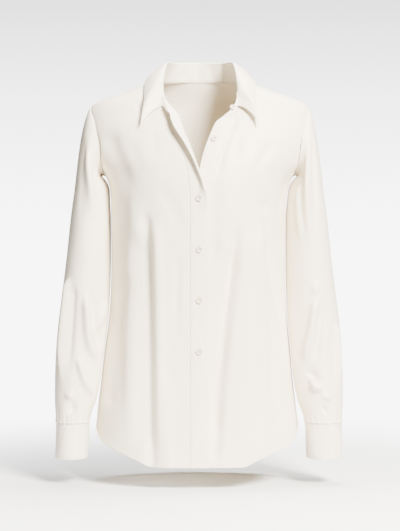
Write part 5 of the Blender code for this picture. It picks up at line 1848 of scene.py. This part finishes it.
@dataclass(frozen=True)
class SatinCrepe:
    """Cream satin crepe: a soft even sheen over a fine pebbled grain."""

    light: Colour = (0.870, 0.785, 0.635)
    dark: Colour = (0.835, 0.748, 0.597)
    roughness: tuple[float, float] = (0.44, 0.54)
    grain_depth: float = 0.00005
    dent_depth: float = 0.0009

    def material(self) -> Material:
        """Makes the material."""
        wiring = MaterialWiring("satin crepe")
        lengths = wiring.node("ShaderNodeUVMap", uv_map="cloth").outputs["UV"]
        grain = wiring.node("ShaderNodeGroup", {"Lengths": lengths, "Place": wiring.place},
                            node_tree=crepe_grain_group())
        crumple = wiring.node("ShaderNodeGroup", {"Place": wiring.place},
                              node_tree=soft_crumple_group())
        dents = wiring.node("ShaderNodeBump", {
            "Height": crumple.outputs["Height"], "Distance": self.dent_depth})
        threads = wiring.node("ShaderNodeBump", {
            "Height": grain.outputs["Height"], "Distance": self.grain_depth,
            "Normal": dents.outputs["Normal"]})
        tone = wiring.ranged(crumple.outputs["Tone"], 0.0, 1.0)
        return wiring.finish({
            "Base Color": wiring.mix(tone, self.light, self.dark),
            "Roughness": wiring.ranged(grain.outputs["Mask"], *self.roughness),
            "Normal": threads.outputs["Normal"], "Specular IOR Level": 0.42,
            "Sheen Weight": 0.18, "Sheen Roughness": 0.45, "Sheen Tint": (1.0, 0.97, 0.93, 1.0)})


@dataclass(frozen=True)
class Thread:
    """Twisted sewing thread, painted darker than the cloth: its darkness is painted shade that
    marks the rows of stitches.
    """

    # Both colours are painted shade, darker than the cloth's own cream; dark is the painted shade
    # in the grooves of the twist.
    light: Colour = (0.740, 0.650, 0.510)
    dark: Colour = (0.560, 0.470, 0.350)

    def material(self) -> Material:
        """Makes the material."""
        wiring = MaterialWiring("sewing thread")
        twist = wiring.node("ShaderNodeTexWave", {
            "Vector": wiring.place, "Scale": 900.0, "Distortion": 1.5},
            bands_direction="DIAGONAL").outputs["Fac"]
        bump = wiring.node("ShaderNodeBump", {"Height": twist, "Distance": 0.00004})
        return wiring.finish({
            # Base colour: painted shade along the stitches, darkest in the bands of the twist.
            "Base Color": wiring.mix(twist, self.dark, self.light), "Roughness": 0.55,
            "Normal": bump.outputs["Normal"], "Sheen Weight": 0.2})


@dataclass(frozen=True)
class PearlPlastic:
    """Cream plastic with the clouded lustre of shell."""

    light: Colour = (0.800, 0.700, 0.540)
    dark: Colour = (0.640, 0.540, 0.390)

    def material(self) -> Material:
        """Makes the material."""
        wiring = MaterialWiring("pearl plastic")
        clouds = wiring.node("ShaderNodeTexNoise", {
            "Vector": wiring.place, "Scale": 260.0, "Detail": 3.0,
            "Distortion": 2.5}).outputs["Fac"]
        bump = wiring.node("ShaderNodeBump", {"Height": clouds, "Distance": 0.00003})
        return wiring.finish({
            "Base Color": wiring.mix(wiring.ranged(clouds, 0.0, 1.0), self.light, self.dark),
            "Roughness": wiring.ranged(clouds, 0.16, 0.28), "Normal": bump.outputs["Normal"],
            "Coat Weight": 0.35, "Coat Roughness": 0.12})


def floor_material() -> Material:
    """The pale floor, with the faintest change of tone, which fades out far away."""
    wiring = MaterialWiring("pale floor")
    tone = wiring.node("ShaderNodeTexNoise", {
        "Vector": wiring.place, "Scale": 0.7, "Detail": 1.0}).outputs["Fac"]
    far = wiring.node("ShaderNodeVectorMath", {0: wiring.place}, operation="LENGTH")
    fade = wiring.node("ShaderNodeMapRange", {
        "Value": far.outputs["Value"], "From Min": 0.22, "From Max": 1.3, "To Min": 1.0,
        "To Max": 0.0}, interpolation_type="SMOOTHSTEP")
    return wiring.finish({
        "Base Color": wiring.mix(tone, (0.90, 0.90, 0.895), (0.92, 0.92, 0.918)),
        "Alpha": fade.outputs[0], "Roughness": 0.9})


# ---- the studio ----
@dataclass
class Studio:
    """A plain pale floor, soft lights and the camera."""

    camera_y: float = -2.700
    camera_z: float = -0.327
    frame_width: float = 0.720
    floor_z: float = -0.715
    sensor: float = 36.0
    sky_strength: float = 8.0
    sky_light: float = 0.12
    # Height of a way out (0 level, 1 straight up), brightness there.
    sky: tuple[tuple[float, float], ...] = ((0.01, 1.0), (0.17, 0.34), (0.99, 0.20))

    def build(self) -> None:
        """Sets up the floor, the lights, the surroundings and the camera."""
        self.add_floor()
        self.add_light("key", (1.15, -2.25, 1.25), (0.9, 0.9), 640.0, (1.0, 0.955, 0.875))
        self.add_light("fill", (-2.40, -1.10, 0.60), (0.6, 0.9), 18.0, (1.0, 0.99, 0.96))
        self.add_light("top", (0.25, 0.25, 1.70), (1.1, 0.9), 120.0, (1.0, 1.0, 1.0))
        self.add_world()
        self.add_camera()

    def add_floor(self) -> None:
        """Adds the floor, which runs far enough to fill the view."""
        grid = bmesh.new()
        bmesh.ops.create_grid(grid, x_segments=8, y_segments=8, size=12.0)
        mesh = bpy.data.meshes.new("floor")
        grid.to_mesh(mesh)
        grid.free()
        mesh.materials.append(floor_material())
        floor = place_object("floor", mesh, (0.0, 0.0, self.floor_z))

    def add_light(self, name: str, place: tuple[float, float, float],
                  size: tuple[float, float], power_w: float, colour: Colour) -> None:
        """Adds a soft light that looks at the middle of the shirt.

        Args:
            name: its name.
            place: where it stands.
            size: its width and height.
            power_w: its power in watts.
            colour: its colour.
        """
        data = bpy.data.lights.new(name, "AREA")
        data.shape = "RECTANGLE"
        data.size, data.size_y = size
        data.energy = power_w
        data.color = colour
        way = Vector((0.0, 0.0, self.camera_z)) - Vector(place)
        light = place_object(name, data, place)
        light.rotation_euler = way.to_track_quat("-Z", "Y").to_euler()

    def add_world(self) -> None:
        """Adds pale surroundings, brightest level with the eye and darker overhead."""
        world = bpy.data.worlds.new("surroundings")
        bpy.context.scene.world = world
        world.use_nodes = True
        wiring = Wiring(world.node_tree)
        way = wiring.node("ShaderNodeTexCoord").outputs["Generated"]
        split = wiring.node("ShaderNodeSeparateXYZ", {0: way})
        ramp = wiring.node("ShaderNodeValToRGB", {"Fac": split.outputs["Z"]})
        stops = ramp.color_ramp.elements
        for place, level in self.sky:
            stops.new(place).color = (level, level, level, 1.0)
        stops.remove(stops[-1])
        stops.remove(stops[0])
        seen = wiring.node("ShaderNodeLightPath").outputs["Is Camera Ray"]
        strength = wiring.node("ShaderNodeMapRange", {
            "Value": seen, "To Min": self.sky_light, "To Max": self.sky_strength})
        wiring.feed(wiring.tree.nodes["Background"], {
            "Color": ramp.outputs["Color"], "Strength": strength.outputs[0]})

    def add_camera(self) -> None:
        """Adds the level camera in front of the shirt."""
        data = bpy.data.cameras.new("camera")
        data.sensor_fit = "HORIZONTAL"
        data.sensor_width = self.sensor
        data.lens = self.sensor * -self.camera_y / self.frame_width
        camera = place_object("camera", data, (0.0, self.camera_y, self.camera_z))
        camera.rotation_euler = (pi / 2, 0.0, 0.0)
        bpy.context.scene.camera = camera


def main() -> None:
    """Loads the frame, builds the shirt on it and sets up the studio."""
    logging.basicConfig(level=logging.INFO, format="%(name)s: %(message)s")
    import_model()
    layout = PanelLayout()
    cloth, thread = SatinCrepe().material(), Thread().material()
    for side in Side:
        threads = ThreadRows(f"stitches_front_{side.word}")
        FrontHalf(side, layout, cloth, threads).build()
        threads.build(thread, f"front_{side.word}")
        LOG.info("front %s done", side.word)
    threads = ThreadRows("stitches_back")
    BackPanel(layout, cloth, threads).build()
    threads.build(thread, "back")
    LOG.info("back done")
    sleeves = Sleeves(layout, cloth, thread)
    sleeves.build()
    LOG.info("sleeves done")
    collar = Collar(layout, cloth, thread)
    collar.build()
    LOG.info("collar done")
    Buttons(layout, sleeves, collar, PearlPlastic().material()).build(thread)
    LOG.info("buttons done")
    Studio().build()
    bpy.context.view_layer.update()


if __name__ == "__main__":
    main()
